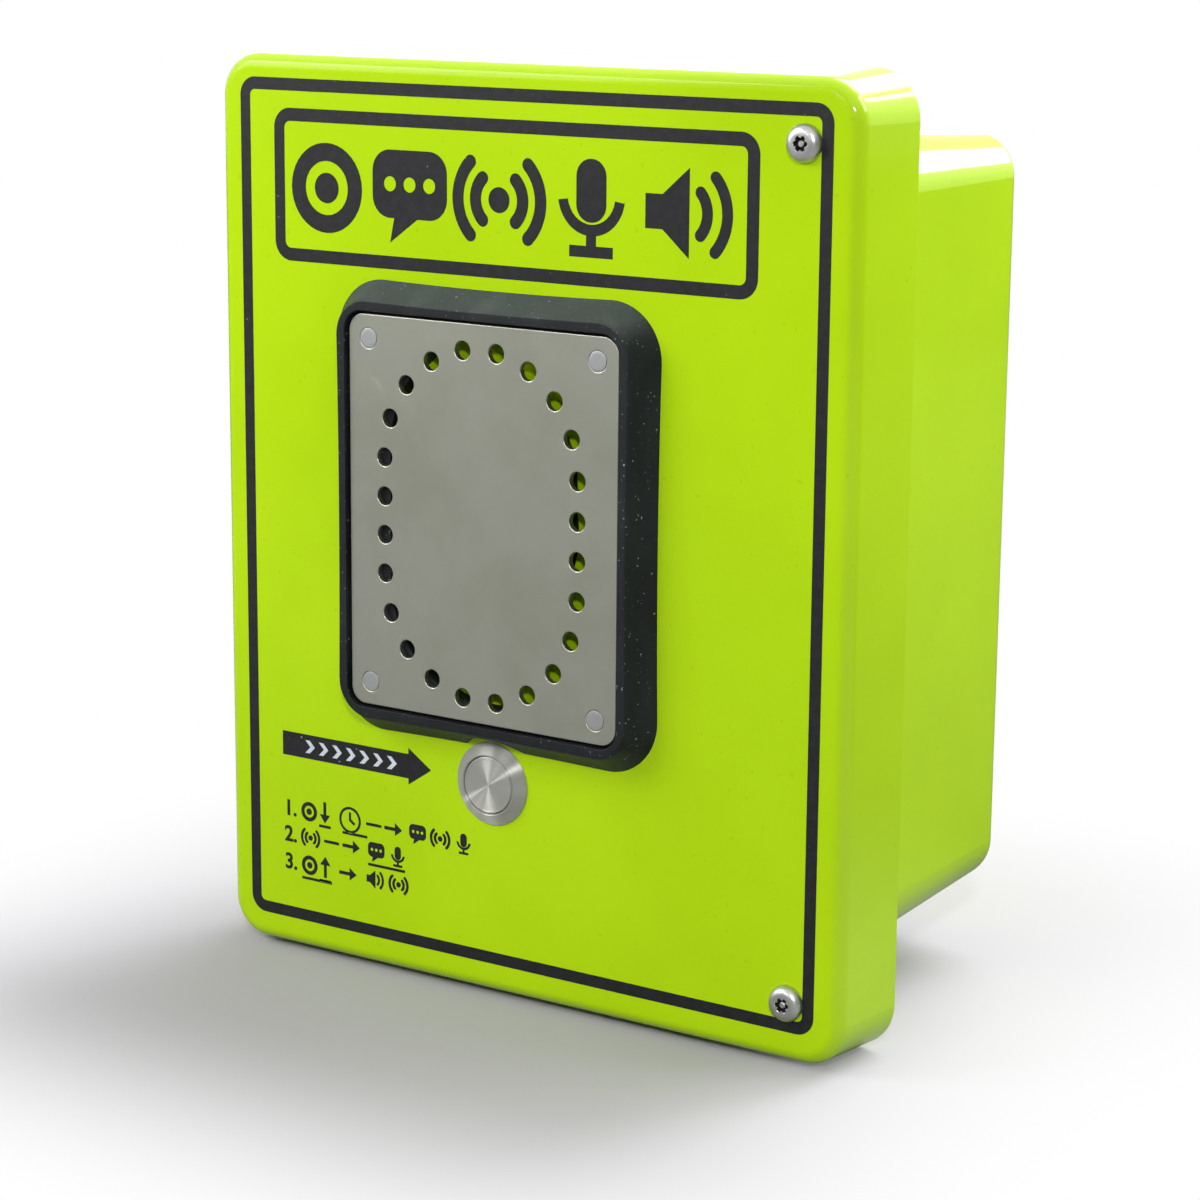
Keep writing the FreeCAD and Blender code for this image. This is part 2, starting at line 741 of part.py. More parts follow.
def make_front_cover():
    body = new_body("front_cover_shell")
    outline = sketch_at(body, "cover_outline", rear)
    draw_rounded(outline, s.cover_width, s.cover_height, s.cover_corner)
    block_feature = pad(body, "cover_block", outline, s.cover_depth, -s.cover_draft)
    round_edges(body, "cover_front_edge", block_feature,
                smaller(s.cover_edge, s.cover_corner - s.cover_depth * cover_slope - s.gap),
                lies_at_depth(s.total_depth))
    land = sketch_at(body, "hinge_land_outline", rear)
    draw_rounded(land, s.cover_wall, hinge_length + 2 * s.land_margin, s.land_corner,
                 (s.cover_wall - s.cover_width) / 2)
    pad(body, "hinge_land", land, s.leaf_reach + s.land_margin)
    inside = sketch_at(body, "cover_inside", rear)
    draw_rounded(inside, s.cover_width - 2 * s.cover_wall, s.cover_height - 2 * s.cover_wall,
                 s.cover_corner - s.cover_wall)
    pocket(body, "cover_hollow", inside, inner_face - rear, -s.cover_draft)
    rib = sketch_at(body, "rib_outline", seal_front)
    reach = s.seal_inset + (s.seal_width + s.rib_thickness) / 2
    draw_rounded(rib, opening_width + 2 * reach, opening_height + 2 * reach, opening_corner + reach)
    reach = s.seal_inset + (s.seal_width - s.rib_thickness) / 2
    draw_rounded(rib, opening_width + 2 * reach, opening_height + 2 * reach, opening_corner + reach)
    pad(body, "seal_rib", rib, inner_face - seal_front)
    posts = sketch_at(body, "board_post_outline", board_front)
    for x, z in board_screw_places:
        draw_circle(posts, s.standoff_radius, x, z)
    pad(body, "board_posts", posts, s.standoff)
    posts = sketch_at(body, "speaker_post_outline", basket_back)
    for x, z in speaker_screw_places:
        draw_circle(posts, s.standoff_radius, x, z)
    pad(body, "speaker_posts", posts, s.speaker_gasket_thickness)
    through = sketch_at(body, "cover_openings", inner_face)
    draw_circle(through, s.speaker_opening, s.plate_x, s.plate_z)
    draw_circle(through, s.barrel_radius + s.fit, s.button_x, s.button_z)
    draw_circle(through, s.microphone_port, s.plate_x, microphone_z)
    for x, z in stud_places:
        draw_circle(through, s.stud_shank + s.fit, x, z)
    for x, z in screw_places.values():
        draw_circle(through, s.screw_shank + s.gap, x, z)
    pocket(body, "through_openings", through, s.face_thickness)
    threads = sketch_at(body, "small_thread_outline", basket_back)
    for x, z in speaker_screw_places:
        draw_circle(threads, s.small_screw + s.fit, x, z)
    pocket(body, "speaker_threads", threads, s.speaker_gasket_thickness + s.thread_depth)
    threads = sketch_at(body, "board_thread_outline", board_front)
    for x, z in board_screw_places:
        draw_circle(threads, s.small_screw + s.fit, x, z)
    pocket(body, "board_threads", threads, s.standoff)
    keep("front_cover", cut("front_cover_drilled", body, *[
        bar(f"skirt_rivet_hole{number}", s.rivet_shank + s.fit, -s.cover_width / 2 - 1,
            -s.cover_width / 2 + s.cover_wall + 1, depth, z)
        for number, (depth, z) in enumerate(cover_rivet_places)]))


# The speaker's grille

bezel_front = s.total_depth + s.bezel_height
plate_front = bezel_front - s.plate_recess
plate_back = plate_front - s.plate_thickness
bezel_front_width = s.plate_width + 2 * (s.bezel_gap + s.bezel_band)
bezel_front_height = s.plate_height + 2 * (s.bezel_gap + s.bezel_band)


def make_bezel():
    body = new_body("bezel_body")
    base = sketch_at(body, "bezel_base", s.total_depth)
    draw_rounded(base, s.bezel_base_width, s.bezel_base_height, s.bezel_base_corner,
                 s.plate_x, s.plate_z)
    top = sketch_at(body, "bezel_front", bezel_front)
    draw_rounded(top, bezel_front_width, bezel_front_height, s.bezel_corner, s.plate_x, s.plate_z)
    outer = body.newObject("PartDesign::AdditiveLoft", "bezel_block")
    outer.Profile = base
    outer.Sections = [top]
    outer.Ruled = True
    round_edges(body, "bezel_front_edge", outer, smaller(s.bezel_edge, s.bezel_band - s.gap),
                lies_at_depth(bezel_front))
    seat = sketch_at(body, "plate_seat", plate_back)
    draw_rounded(seat, s.plate_width + 2 * s.bezel_gap, s.plate_height + 2 * s.bezel_gap,
                 s.plate_corner + s.bezel_gap, s.plate_x, s.plate_z)
    pocket(body, "plate_recess", seat, bezel_front - plate_back)
    opening = sketch_at(body, "bezel_opening", s.total_depth)
    draw_rounded(opening, s.bezel_opening_width, s.bezel_opening_height, s.bezel_opening_corner,
                 s.plate_x, s.plate_z)
    for x, z in stud_places:
        draw_circle(opening, s.stud_shank + s.fit, x, z)
    pocket(body, "bezel_through", opening, s.bezel_height)
    keep("speaker_bezel", cut("bezel_notched", body, cylinder(
        "button_notch", s.notch_radius, s.total_depth - 1, bezel_front + 1, s.button_x, s.button_z)))


def sound_hole_places():
    # Two half rings of holes, joined by two holes on each side
    per_half = 10
    places = []
    for side in (1, -1):
        for number in range(per_half):
            turn = 180.0 * number / (per_half - 1)
            places.append((s.plate_x + s.sound_ring * cosine(turn),
                           s.plate_z + side * (s.sound_offset + s.sound_ring * sine(turn))))
        for across in (1, -1):
            places.append((s.plate_x + across * s.sound_ring, s.plate_z + side * s.sound_side))
    return places


def make_grille_plate():
    plate = rounded_plate("plate_body", s.plate_width, s.plate_height, s.plate_corner,
                          plate_back, plate_front, s.plate_x, s.plate_z)
    tools = [cylinder(f"sound_hole{number}", s.sound_hole, plate_back - 1, plate_front + 1, x, z)
             for number, (x, z) in enumerate(sound_hole_places())]
    tools += [cylinder(f"stud_hole{number}", s.stud_head + s.fit, plate_back - 1, plate_front + 1, x, z)
              for number, (x, z) in enumerate(stud_places)]
    keep("grille_plate", cut("plate_drilled", plate, *tools))


def make_studs():
    made = []
    nuts = []
    for number, (x, z) in enumerate(stud_places):
        head = cylinder(f"stud_head{number}", s.stud_head, plate_back, plate_front, x, z)
        shank = cylinder(f"stud_shank{number}", s.stud_shank, plate_front - s.stud_length, plate_back, x, z)
        made.append(fuse(f"stud{number}", head, shank))
        flat = inner_face - s.nut_height
        nut = hexagon(f"nut_hexagon{number}", s.nut_radius, flat, inner_face, x, z)
        flange = cylinder(f"nut_flange{number}", s.nut_flange, inner_face - s.nut_flange_thickness,
                          inner_face, x, z)
        bore = cylinder(f"nut_bore{number}", s.stud_shank + s.fit, flat - 1, inner_face + 1, x, z)
        nuts.append(cut(f"nut{number}", fuse(f"nut_solid{number}", nut, flange), bore))
    keep("grille_studs", group("studs", *made))
    keep("grille_nuts", group("stud_nuts", *nuts))


# The speaker

cone_back = basket_back - s.basket_sheet - s.basket_depth
top_plate_back = cone_back - s.steel_thickness
magnet_back = top_plate_back - s.magnet_height
yoke_back = magnet_back - s.steel_thickness
cone_front = basket_back - s.basket_sheet
coil_front = cone_front - s.cone_depth


def make_speaker_frame():
    x, z = s.plate_x, s.plate_z
    keep("speaker_gasket", ring("gasket_ring", s.speaker_gasket_inner, s.speaker_gasket_outer,
                                basket_back, inner_face, x, z))
    flange = rounded_plate("basket_flange", s.speaker_size, s.speaker_size, 2 * s.standoff_radius,
                           cone_front, basket_back, x, z, speaker_screw_places, s.small_screw + s.gap)
    wall = s.basket_sheet
    outer = cone("basket_outer", s.basket_floor, s.basket_rim, cone_back, cone_front, x, z)
    inner = cone("basket_inner", s.basket_floor - wall, s.basket_rim - wall, cone_back + wall,
                 cone_front + s.fit, x, z)
    throat = cylinder("basket_throat", s.basket_rim - wall, cone_front, basket_back + 1, x, z)
    floor = cylinder("basket_floor_hole", s.basket_bore, cone_back - 1, cone_back + wall + 1, x, z)
    reach, half = s.basket_rim + 1, s.window_width / 2
    low, high = cone_back + s.window_margin, cone_front - s.window_margin
    windows = [block("basket_window_across", x - reach, x + reach, low, high, z - half, z + half),
               block("basket_window_up", x - half, x + half, low, high, z - reach, z + reach)]
    keep("speaker_basket", cut("basket", fuse("basket_solid", flange, outer), inner, throat, floor, *windows))
    keep("speaker_top_plate", ring("top_plate", s.gap_radius, s.steel_radius, top_plate_back, cone_back, x, z))
    keep("speaker_magnet", ring("magnet", s.magnet_bore, s.magnet_radius, magnet_back, top_plate_back, x, z))
    keep("speaker_yoke", fuse("yoke", cylinder("yoke_disc", s.steel_radius, yoke_back, magnet_back, x, z),
                              cylinder("yoke_pole", s.pole_radius, magnet_back, cone_back, x, z)))
    length = s.basket_sheet + s.speaker_gasket_thickness + s.speaker_bite
    keep("speaker_screws", group("speaker_screw_set", *[
        small_screw(f"speaker_screw{number}", cone_front, length, across, up)
        for number, (across, up) in enumerate(speaker_screw_places)]))


def small_screw(name, seat, length, x, z, from_front=False):
    # A slotted pan-head screw: its head sits on the wall side of seat, or else on the front side
    top = s.small_head_height
    floor = top - s.slot_depth
    spans = {"head": (seat - top, seat), "shank": (seat, seat + length), "slot": (seat - top - 1, seat - floor)}
    if from_front:
        spans = {"head": (seat, seat + top), "shank": (seat - length, seat), "slot": (seat + floor, seat + top + 1)}
    head = cylinder(name + "_head", s.small_head, *spans["head"], x, z)
    shank = cylinder(name + "_shank", s.small_screw, *spans["shank"], x, z)
    slot = block(name + "_slot", x - s.small_head - 1, x + s.small_head + 1, *spans["slot"],
                 z - s.slot_width / 2, z + s.slot_width / 2)
    return cut(name, fuse(name + "_solid", head, shank), slot)


def make_speaker_cone():
    x, z = s.plate_x, s.plate_z
    front = cone_front
    outer = cone("cone_outer", s.gap_radius, s.cone_radius, coil_front, front, x, z)
    inner = cone("cone_inner", s.gap_radius, s.cone_radius, coil_front + s.cone_sheet,
                 front + s.cone_sheet, x, z)
    bore = cylinder("cone_bore", s.coil_inner, coil_front - 1, front + 1, x, z)
    keep("speaker_cone", cut("cone_shell", outer, inner, bore))
    keep("voice_coil", ring("coil", s.coil_inner, s.coil_outer, coil_front - s.coil_height, coil_front, x, z))
    cap_back = coil_front + s.cap_lift
    cap = cone("cap_outer", s.cap_radius, s.cap_top, cap_back, cap_back + s.cap_height, x, z)
    keep("dust_cap", rounded("cap_rounded", cap, s.cone_sheet, lies_at_depth(cap_back + s.cap_height)))
    surround_back = front - s.surround_back
    keep("speaker_surround", ring("surround", s.cone_radius + s.gap, s.surround_radius,
                                  surround_back, surround_back + s.surround_thickness, x, z))
    spider_back = cone_back + s.basket_sheet + s.cone_travel
    keep("speaker_spider", ring("spider", s.coil_outer + s.gap, s.spider_radius,
                                spider_back, spider_back + s.spider_thickness, x, z))


def make_microphone():
    x, z = s.plate_x, microphone_z
    back = inner_face - s.boot_length
    capsule_front = inner_face - s.port_length
    bore = cylinder("boot_bore", s.microphone_radius + s.fit, back - 1, capsule_front, x, z)
    port = cylinder("boot_port", s.microphone_port, back, inner_face + 1, x, z)
    solid = cylinder("boot_solid", s.boot_radius, back, inner_face, x, z)
    keep("microphone_boot", cut("boot", solid, bore, port))
    keep("microphone_capsule", cylinder("capsule", s.microphone_radius,
                                        capsule_front - s.microphone_length, capsule_front, x, z))


# The push button

button_front = s.total_depth + s.button_head_height
plunger_back = button_front - s.plunger_length
well_back = plunger_back - s.button_travel - s.button_spring_pressed
barrel_back = s.total_depth - s.barrel_length


def make_button():
    x, z = s.button_x, s.button_z
    head = cylinder("button_flange", s.button_head, s.total_depth, button_front, x, z)
    rounded_head = rounded("button_flange_edge", head, s.button_edge, lies_at_depth(button_front))
    barrel = cylinder("button_barrel", s.barrel_radius, barrel_back, s.total_depth, x, z)
    well = cylinder("button_well", s.plunger_radius + s.plunger_gap, well_back, button_front + 1, x, z)
    groove_outer = s.button_head - s.button_lip
    groove = ring("button_groove", s.barrel_radius, groove_outer, s.total_depth - 1,
                  s.total_depth + s.button_seal_thickness, x, z)
    keep("button_housing", cut("housing", fuse("housing_solid", rounded_head, barrel), well, groove))
    keep("button_seal", ring("button_seal_ring", s.barrel_radius + s.fit, groove_outer - s.plunger_gap,
                             s.total_depth, s.total_depth + s.button_seal_thickness, x, z))
    cap = cylinder("plunger_cap", s.plunger_radius, plunger_back, button_front, x, z)
    keep("button_plunger", rounded("plunger_rounded", cap, s.plunger_edge, lies_at_depth(button_front)))
    keep("button_spring", ring("spring_sleeve", s.button_spring_inner, s.button_spring_outer,
                               well_back + s.fit, plunger_back - s.fit, x, z))
    nut_back = inner_face - s.button_nut_height
    nut = hexagon("button_nut_hexagon", s.button_nut, nut_back, inner_face, x, z)
    keep("button_nut", cut("button_nut_bored", nut, cylinder(
        "button_nut_bore", s.barrel_radius + s.fit, nut_back - 1, inner_face + 1, x, z)))
    base_back = barrel_back - s.button_base_length
    keep("button_base", cylinder("switch_base", s.button_base_radius, base_back, barrel_back, x, z))
    wide, thick = s.terminal_width / 2, s.terminal_thickness / 2
    keep("button_terminals", group("terminals", *[
        block(f"terminal{number}", across - wide, across + wide, base_back - s.terminal_length, base_back,
              up - thick, up + thick)
        for number, (across, up) in enumerate(corners(s.terminal_spacing, s.terminal_spacing, x, z))]))


# The cover screws

def make_cover_screws():
    tip = rim - s.screw_engaged
    face = s.total_depth
    top = face + s.screw_head_height
    floor = face + s.recess_floor
    stop = inner_face - s.screw_travel - s.gap
    for name, (x, z) in screw_places.items():
        head = cone(f"{name}_head_solid", s.screw_head, s.screw_head_top, face, top, x, z)
        dome = rounded(f"{name}_dome", head, s.screw_dome, lies_at_depth(top))
        shank = cylinder(f"{name}_shank", s.screw_shank, tip, face, x, z)
        recess = hexagon(f"{name}_recess", s.recess_radius, floor, top + 1, x, z)
        pin = cylinder(f"{name}_pin", s.recess_pin, floor, face + s.recess_pin_top, x, z)
        keep(f"{name}_screw", fuse(f"{name}_pinned", cut(f"{name}_recessed", fuse(
            f"{name}_solid", dome, shank), recess), pin))
        keep(f"{name}_retainer", ring(f"{name}_retaining_ring", s.screw_shank + s.fit, s.retainer_radius,
                                      stop - s.retainer_thickness, stop, x, z))


# The radio board and its aerial

# What stands on the board: from and to along X and Z, from its lower left corner, and the height
board_parts = {
    "power_socket": (6, 14, 14, 28, 9.0), "microphone_socket": (12, 20, 3, 9, 7.0),
    "speaker_socket": (24, 34, 3, 9, 7.0), "switch_socket": (37, 47, 3, 9, 7.0),
    "processor": (26, 40, 18, 32, 1.8), "amplifier": (46, 54, 20, 30, 2.2),
    "regulator": (50, 60, 37, 46, 4.5), "memory": (44, 52, 35, 41, 1.6), "crystal": (28, 39, 37, 41, 3.6),
}
shield_part = (66, 112, 9, 41, 6.0)
capacitor_places = ((22, 22), (22, 31))


def board_part(name, left, right, low, high, height):
    x, z = -s.board_width / 2, board_z - s.board_height / 2
    return block(name, x + left, x + right, board_back - height, board_back, z + low, z + high)


def make_board():
    keep("radio_board", rounded_plate("board_body", s.board_width, s.board_height, s.board_corner, board_back,
                                      board_front, 0, board_z, board_screw_places, s.small_screw + s.gap))
    can = board_part("can_block", *shield_part)
    keep("radio_shield", rounded("can_rounded", can, s.shield_edge,
                                 lambda edge: not lies_at_depth(board_back)(edge)))
    made = [board_part(name, *spans) for name, spans in board_parts.items()]
    for number, (across, up) in enumerate(capacitor_places):
        made.append(cylinder(f"capacitor{number}", s.capacitor_radius, board_back - s.capacitor_height,
                             board_back, across - s.board_width / 2, up + board_z - s.board_height / 2))
    keep("board_components", group("component_set", *made))
    keep("board_screws", group("board_screw_set", *[
        small_screw(f"board_screw{number}", board_back, s.board_thickness + s.board_bite, x, z)
        for number, (x, z) in enumerate(board_screw_places)]))


def make_aerial():
    x = s.aerial_x
    low = board_z - s.board_height / 2
    depth = board_back - s.aerial_stand
    high = low - s.aerial_plug_out
    half = s.aerial_foot / 2
    socket = post("aerial_socket", s.aerial_plug, high, low + s.aerial_plug_in, x, depth)
    foot = block("aerial_foot_block", x - half, x + half, depth - half, board_back,
                 low + s.gap, low + s.gap + s.aerial_foot_length)
    keep("aerial_connector", fuse("aerial_connector_solid", socket, foot))
    end = high - s.aerial_length
    rod = post("aerial_rod", s.aerial_radius, end, high, x, depth)
    keep("aerial", rounded("aerial_rounded", rod, s.aerial_edge,
                           lambda edge: abs(edge.BoundBox.ZMax - end.amount) < 1e-4))


# The battery pack on its panel

panel_front = panel_start + s.panel_thickness
holder_front = panel_front + s.holder_base
cell_depth = holder_front + s.gap + s.cell_radius
bay_length = s.cell_length + s.cell_nub + s.spring_length + 2 * s.contact_thickness
holder_width = s.cell_pitch * s.cell_count + 2 * s.holder_wall
holder_height = 2 * bay_length + 3 * s.holder_wall
strap_inner = holder_width / 2 + s.gap
strap_outer = strap_inner + s.strap_thickness


def cell_columns():
    return [(column, (column - (sizes["cell_count"] - 1) / 2) * s.cell_pitch)
            for column in range(sizes["cell_count"])]


def bays():
    # The two rows of cells and the low end of each
    return [("upper", s.holder_wall / 2), ("lower", -s.holder_wall / 2 - bay_length)]


def strap_screw_places():
    across = strap_outer + s.strap_foot / 2
    return [(sign * across, low + bay_length / 2) for _, low in bays() for sign in (-1, 1)]


def make_panel():
    bosses = corners(panel_hole_across, panel_hole_up)
    keep("back_panel", rounded_plate("panel_body", s.panel_width, s.panel_height, s.panel_corner, panel_start,
                                     panel_front, 0, 0, bosses + strap_screw_places(), s.small_screw + s.fit))
    keep("panel_screws", group("panel_screw_set", *[
        small_screw(f"panel_screw{number}", panel_front, s.panel_thickness + s.panel_boss - 1, x, z, True)
        for number, (x, z) in enumerate(bosses)]))


def make_battery():
    half = holder_width / 2
    top = holder_height / 2
    tray = block("holder_block", -half, half, panel_front, panel_front + s.holder_depth, -top, top)
    hollows = [block(f"{name}_bay", s.holder_wall - half, half - s.holder_wall, holder_front,
                     panel_front + s.holder_depth + 1, low, low + bay_length) for name, low in bays()]
    keep("battery_holder", cut("holder", tray, *hollows))
    cells, springs, plates = [], [], []
    for name, low in bays():
        for column, x in cell_columns():
            tag = f"{name}{column}"
            up = column % 2 == 0
            floor, ceiling = low + s.contact_thickness, low + bay_length - s.contact_thickness
            start = floor + s.spring_length if up else floor + s.cell_nub
            can = post(f"cell_can_{tag}", s.cell_radius, start, start + s.cell_length, x, cell_depth)
            tip_low = start + s.cell_length if up else floor
            tip = post(f"cell_tip_{tag}", s.cell_nub_radius, tip_low, tip_low + s.cell_nub, x, cell_depth)
            cells.append(fuse(f"cell_{tag}", can, tip))
            coil_low = floor if up else ceiling - s.spring_length
            springs.append(post(f"cell_spring_{tag}", s.cell_nub_radius, coil_low + s.fit,
                                coil_low + s.spring_length - s.fit, x, cell_depth))
            for end, at in (("low", low), ("high", low + bay_length - s.contact_thickness)):
                plates.append(block(f"contact_{tag}_{end}", x - s.contact_width / 2, x + s.contact_width / 2,
                                    holder_front, panel_front + s.holder_depth - s.contact_drop,
                                    at, at + s.contact_thickness))
    keep("battery_cells", group("cells", *cells))
    keep("battery_springs", group("cell_springs", *springs))
    keep("battery_contacts", group("contacts", *plates))


def make_straps():
    made = []
    bridge = cell_depth + s.cell_radius + s.gap
    foot_front = panel_front + s.strap_thickness
    for name, low in bays():
        middle = low + bay_length / 2
        bottom, top = middle - s.strap_width / 2, middle + s.strap_width / 2
        pieces = [block(f"{name}_strap_bridge", -strap_outer, strap_outer, bridge, bridge + s.strap_thickness,
                        bottom, top)]
        far = strap_outer + s.strap_foot
        for side, sides, foot in (("left", (-strap_outer, -strap_inner), (-far, -strap_inner)),
                                  ("right", (strap_inner, strap_outer), (strap_inner, far))):
            pieces.append(block(f"{name}_strap_{side}", *sides, panel_front, bridge + s.strap_thickness,
                                bottom, top))
            pieces.append(block(f"{name}_foot_{side}", *foot, panel_front, foot_front, bottom, top))
        made.append(fuse(f"{name}_strap", *pieces))
    holes = [cylinder(f"strap_hole{number}", s.small_screw + s.fit, panel_front - 1, foot_front + 1, x, z)
             for number, (x, z) in enumerate(strap_screw_places())]
    keep("battery_straps", cut("straps", group("strap_pair", *made), *holes))
    keep("strap_screws", group("strap_screw_set", *[
        small_screw(f"strap_screw{number}", foot_front, s.strap_thickness + s.panel_thickness, x, z, True)
        for number, (x, z) in enumerate(strap_screw_places())]))


# Wires, each one round tube along straight runs joined by arcs

def tube(name, radius, points):
    places = [FreeCAD.Vector(size(x).amount, -size(depth).amount, size(z).amount) for x, depth, z in points]
    edges = []
    bends = []
    last = places[0]
    for before, here, after in zip(places, places[1:], places[2:]):
        back, ahead = before - here, after - here
        turn = math.pi - back.getAngle(ahead)
        trim = 0.45 * min(back.Length, ahead.Length)
        start = here + back * (trim / back.Length)
        end = here + ahead * (trim / ahead.Length)
        bend = trim / math.tan(turn / 2)
        bends.append(bend)
        inward = (back * (1 / back.Length) + ahead * (1 / ahead.Length))
        inward.normalize()
        middle = here + inward * (math.hypot(bend, trim) - bend)
        edges.append(Part.LineSegment(last, start).toShape())
        edges.append(Part.Arc(start, middle, end).toShape())
        last = end
    edges.append(Part.LineSegment(last, places[-1]).toShape())
    path = Part.Wire(edges)
    first = places[1] - places[0]
    profile = Part.Wire(Part.Circle(places[0], first, size(radius).amount).toShape())
    shape = path.makePipeShell([profile], True, False)
    thing = doc.addObject("Part::Feature", name)
    thing.Shape = shape
    ideal = math.pi * size(radius).amount ** 2 * path.Length
    print(f"{name}: length {path.Length:.1f}, volume share {shape.Volume / ideal:.4f},",
          "radii", " ".join(f"{bend:.1f}" for bend in bends))
    return thing


def make_wires():
    low = board_z - s.board_height / 2
    left = -s.board_width / 2
    top = holder_height / 2
    start = panel_front + 14
    side = 8 - opening_width / 2
    plug = board_back - 9
    socket = board_back - 4
    keep("battery_harness", tube("harness_tube", s.harness_radius, [
        (-30, start, top), (-30, start, top + 10), (-46, start + 5, top + 13),
        (side + 7, start + 10, top + 7), (side + 1, start + 17, top - 13), (side, start + 26, top - 32),
        (side + 1, start + 37, top - 37), (side + 3, start + 44, top - 24), (left + 10, plug - 14, low + 21),
        (left + 10, plug, low + 21)]))
    rim_x = s.plate_x - s.basket_rim
    keep("speaker_lead", tube("speaker_lead_tube", s.lead_radius, [
        (left + 29, socket, low + 3), (left + 29, socket, low - 4), (left + 26, socket + 1, low - 16),
        (rim_x - 4, socket + 1, s.plate_z + 14), (rim_x - 5, cone_front - 4, s.plate_z + 4),
        (rim_x + 1.7, cone_front - 4, s.plate_z - 1)]))
    base_back = barrel_back - s.button_base_length
    tag_back = base_back - s.terminal_length
    tag_x, tag_z = s.button_x - s.terminal_spacing / 2, s.button_z + s.terminal_spacing / 2
    keep("button_lead", tube("button_lead_tube", s.lead_radius, [
        (left + 42, socket, low + 3), (left + 42, socket, low - 5), (left + 32, socket - 6, low - 18),
        (left + 24, socket - 8, 4), (left + 25, base_back - 6, s.button_z + 30),
        (tag_x - 19, base_back - 12, s.button_z + 12), (tag_x - 4, tag_back - 10, tag_z + 2),
        (tag_x, tag_back - 7, tag_z), (tag_x, tag_back, tag_z)]))
    boot_back = inner_face - s.boot_length
    capsule_back = inner_face - s.port_length - s.microphone_length
    keep("microphone_lead", tube("microphone_lead_tube", s.lead_radius, [
        (left + 16, socket, low + 3), (left + 16, socket, low - 4), (left + 18, socket + 2, low - 16),
        (left + 22, socket + 2, low - 44), (rim_x - 2, boot_back - 4, microphone_z + 6),
        (s.plate_x - 14, boot_back - 5, microphone_z), (s.plate_x, boot_back - 4, microphone_z),
        (s.plate_x, capsule_back, microphone_z)]))


make_rear_box()
make_seal()
make_inserts()
make_wall_washers()
make_hinge()
make_hinge_rivets()
make_front_cover()
make_bezel()
make_grille_plate()
make_studs()
make_speaker_frame()
make_speaker_cone()
make_microphone()
make_button()
make_cover_screws()
make_board()
make_aerial()
make_panel()
make_battery()
make_straps()
make_wires()
doc.recompute()

for thing in doc.Objects:
    if "Invalid" in thing.State or "Error" in thing.State:
        raise RuntimeError(f"{thing.Name} failed: {thing.State}")
for name, thing in parts.items():
    if thing.Shape.isNull() or not thing.Shape.isValid() or not thing.Shape.Solids:
        raise RuntimeError(f"{name} has no valid solid")

os.makedirs("parts", exist_ok=True)
for name, thing in parts.items():
    thing.Shape.exportStep(f"parts/{name}.step")
print(f"{len(parts)} parts, {sum(len(thing.Shape.Solids) for thing in parts.values())} solids")
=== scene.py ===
import math
import random

import bmesh
import bpy
from mathutils import Matrix, Vector


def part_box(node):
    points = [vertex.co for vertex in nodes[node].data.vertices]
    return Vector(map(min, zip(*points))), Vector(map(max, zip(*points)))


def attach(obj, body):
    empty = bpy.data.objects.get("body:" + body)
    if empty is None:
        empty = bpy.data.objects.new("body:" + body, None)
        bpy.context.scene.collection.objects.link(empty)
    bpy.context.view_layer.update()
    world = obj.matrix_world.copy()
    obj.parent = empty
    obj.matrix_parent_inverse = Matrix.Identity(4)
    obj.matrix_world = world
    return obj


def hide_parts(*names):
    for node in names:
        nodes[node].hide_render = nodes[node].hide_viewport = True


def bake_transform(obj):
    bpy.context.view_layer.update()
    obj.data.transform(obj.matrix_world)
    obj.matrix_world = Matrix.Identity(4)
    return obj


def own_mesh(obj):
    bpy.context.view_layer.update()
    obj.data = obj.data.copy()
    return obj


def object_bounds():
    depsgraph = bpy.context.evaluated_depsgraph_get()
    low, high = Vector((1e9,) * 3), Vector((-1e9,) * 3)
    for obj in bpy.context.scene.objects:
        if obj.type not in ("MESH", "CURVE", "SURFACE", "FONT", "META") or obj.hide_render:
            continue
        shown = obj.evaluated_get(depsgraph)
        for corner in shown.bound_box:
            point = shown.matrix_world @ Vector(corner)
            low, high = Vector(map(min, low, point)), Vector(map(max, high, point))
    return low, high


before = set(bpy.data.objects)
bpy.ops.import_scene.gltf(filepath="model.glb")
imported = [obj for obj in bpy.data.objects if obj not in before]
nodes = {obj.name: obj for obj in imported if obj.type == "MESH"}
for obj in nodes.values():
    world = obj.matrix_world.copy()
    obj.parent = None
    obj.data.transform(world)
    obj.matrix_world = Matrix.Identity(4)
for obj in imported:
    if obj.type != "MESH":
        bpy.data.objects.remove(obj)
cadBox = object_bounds()
mm = 0.001
faceForward = Matrix.Rotation(math.pi / 2, 4, "X")   # local Z points out of the front, local Y up
print("frame loaded:", len(nodes), "nodes")


def fromNode(name):
    low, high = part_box(name)
    return {"middle": (low + high) / 2, "low": low, "high": high, "front": -low.y, "back": -high.y,
            "thick": high.y - low.y}


plate = fromNode("grille_plate")
cover = fromNode("front_cover")
plunger = fromNode("button_plunger")


# Shader arithmetic

class Field:
    # One shader socket that takes part in plain expressions
    def __init__(self, network, socket):
        self.network = network
        self.socket = socket

    def __add__(self, other):
        return self.network.maths("ADD", self, other)

    def __radd__(self, other):
        return self.network.maths("ADD", other, self)

    def __rsub__(self, other):
        return self.network.maths("SUBTRACT", other, self)

    def __mul__(self, other):
        return self.network.maths("MULTIPLY", self, other)

    def __rmul__(self, other):
        return self.network.maths("MULTIPLY", other, self)

    def __pow__(self, other):
        return self.network.maths("POWER", self, other)


def colour(red, green, blue):
    # From screen values of 0 to 255 to the linear ones that a shader takes
    linear = []
    for value in (red, green, blue):
        share = value / 255
        linear.append(share / 12.92 if share <= 0.04045 else ((share + 0.055) / 1.055) ** 2.4)
    return (*linear, 1.0)


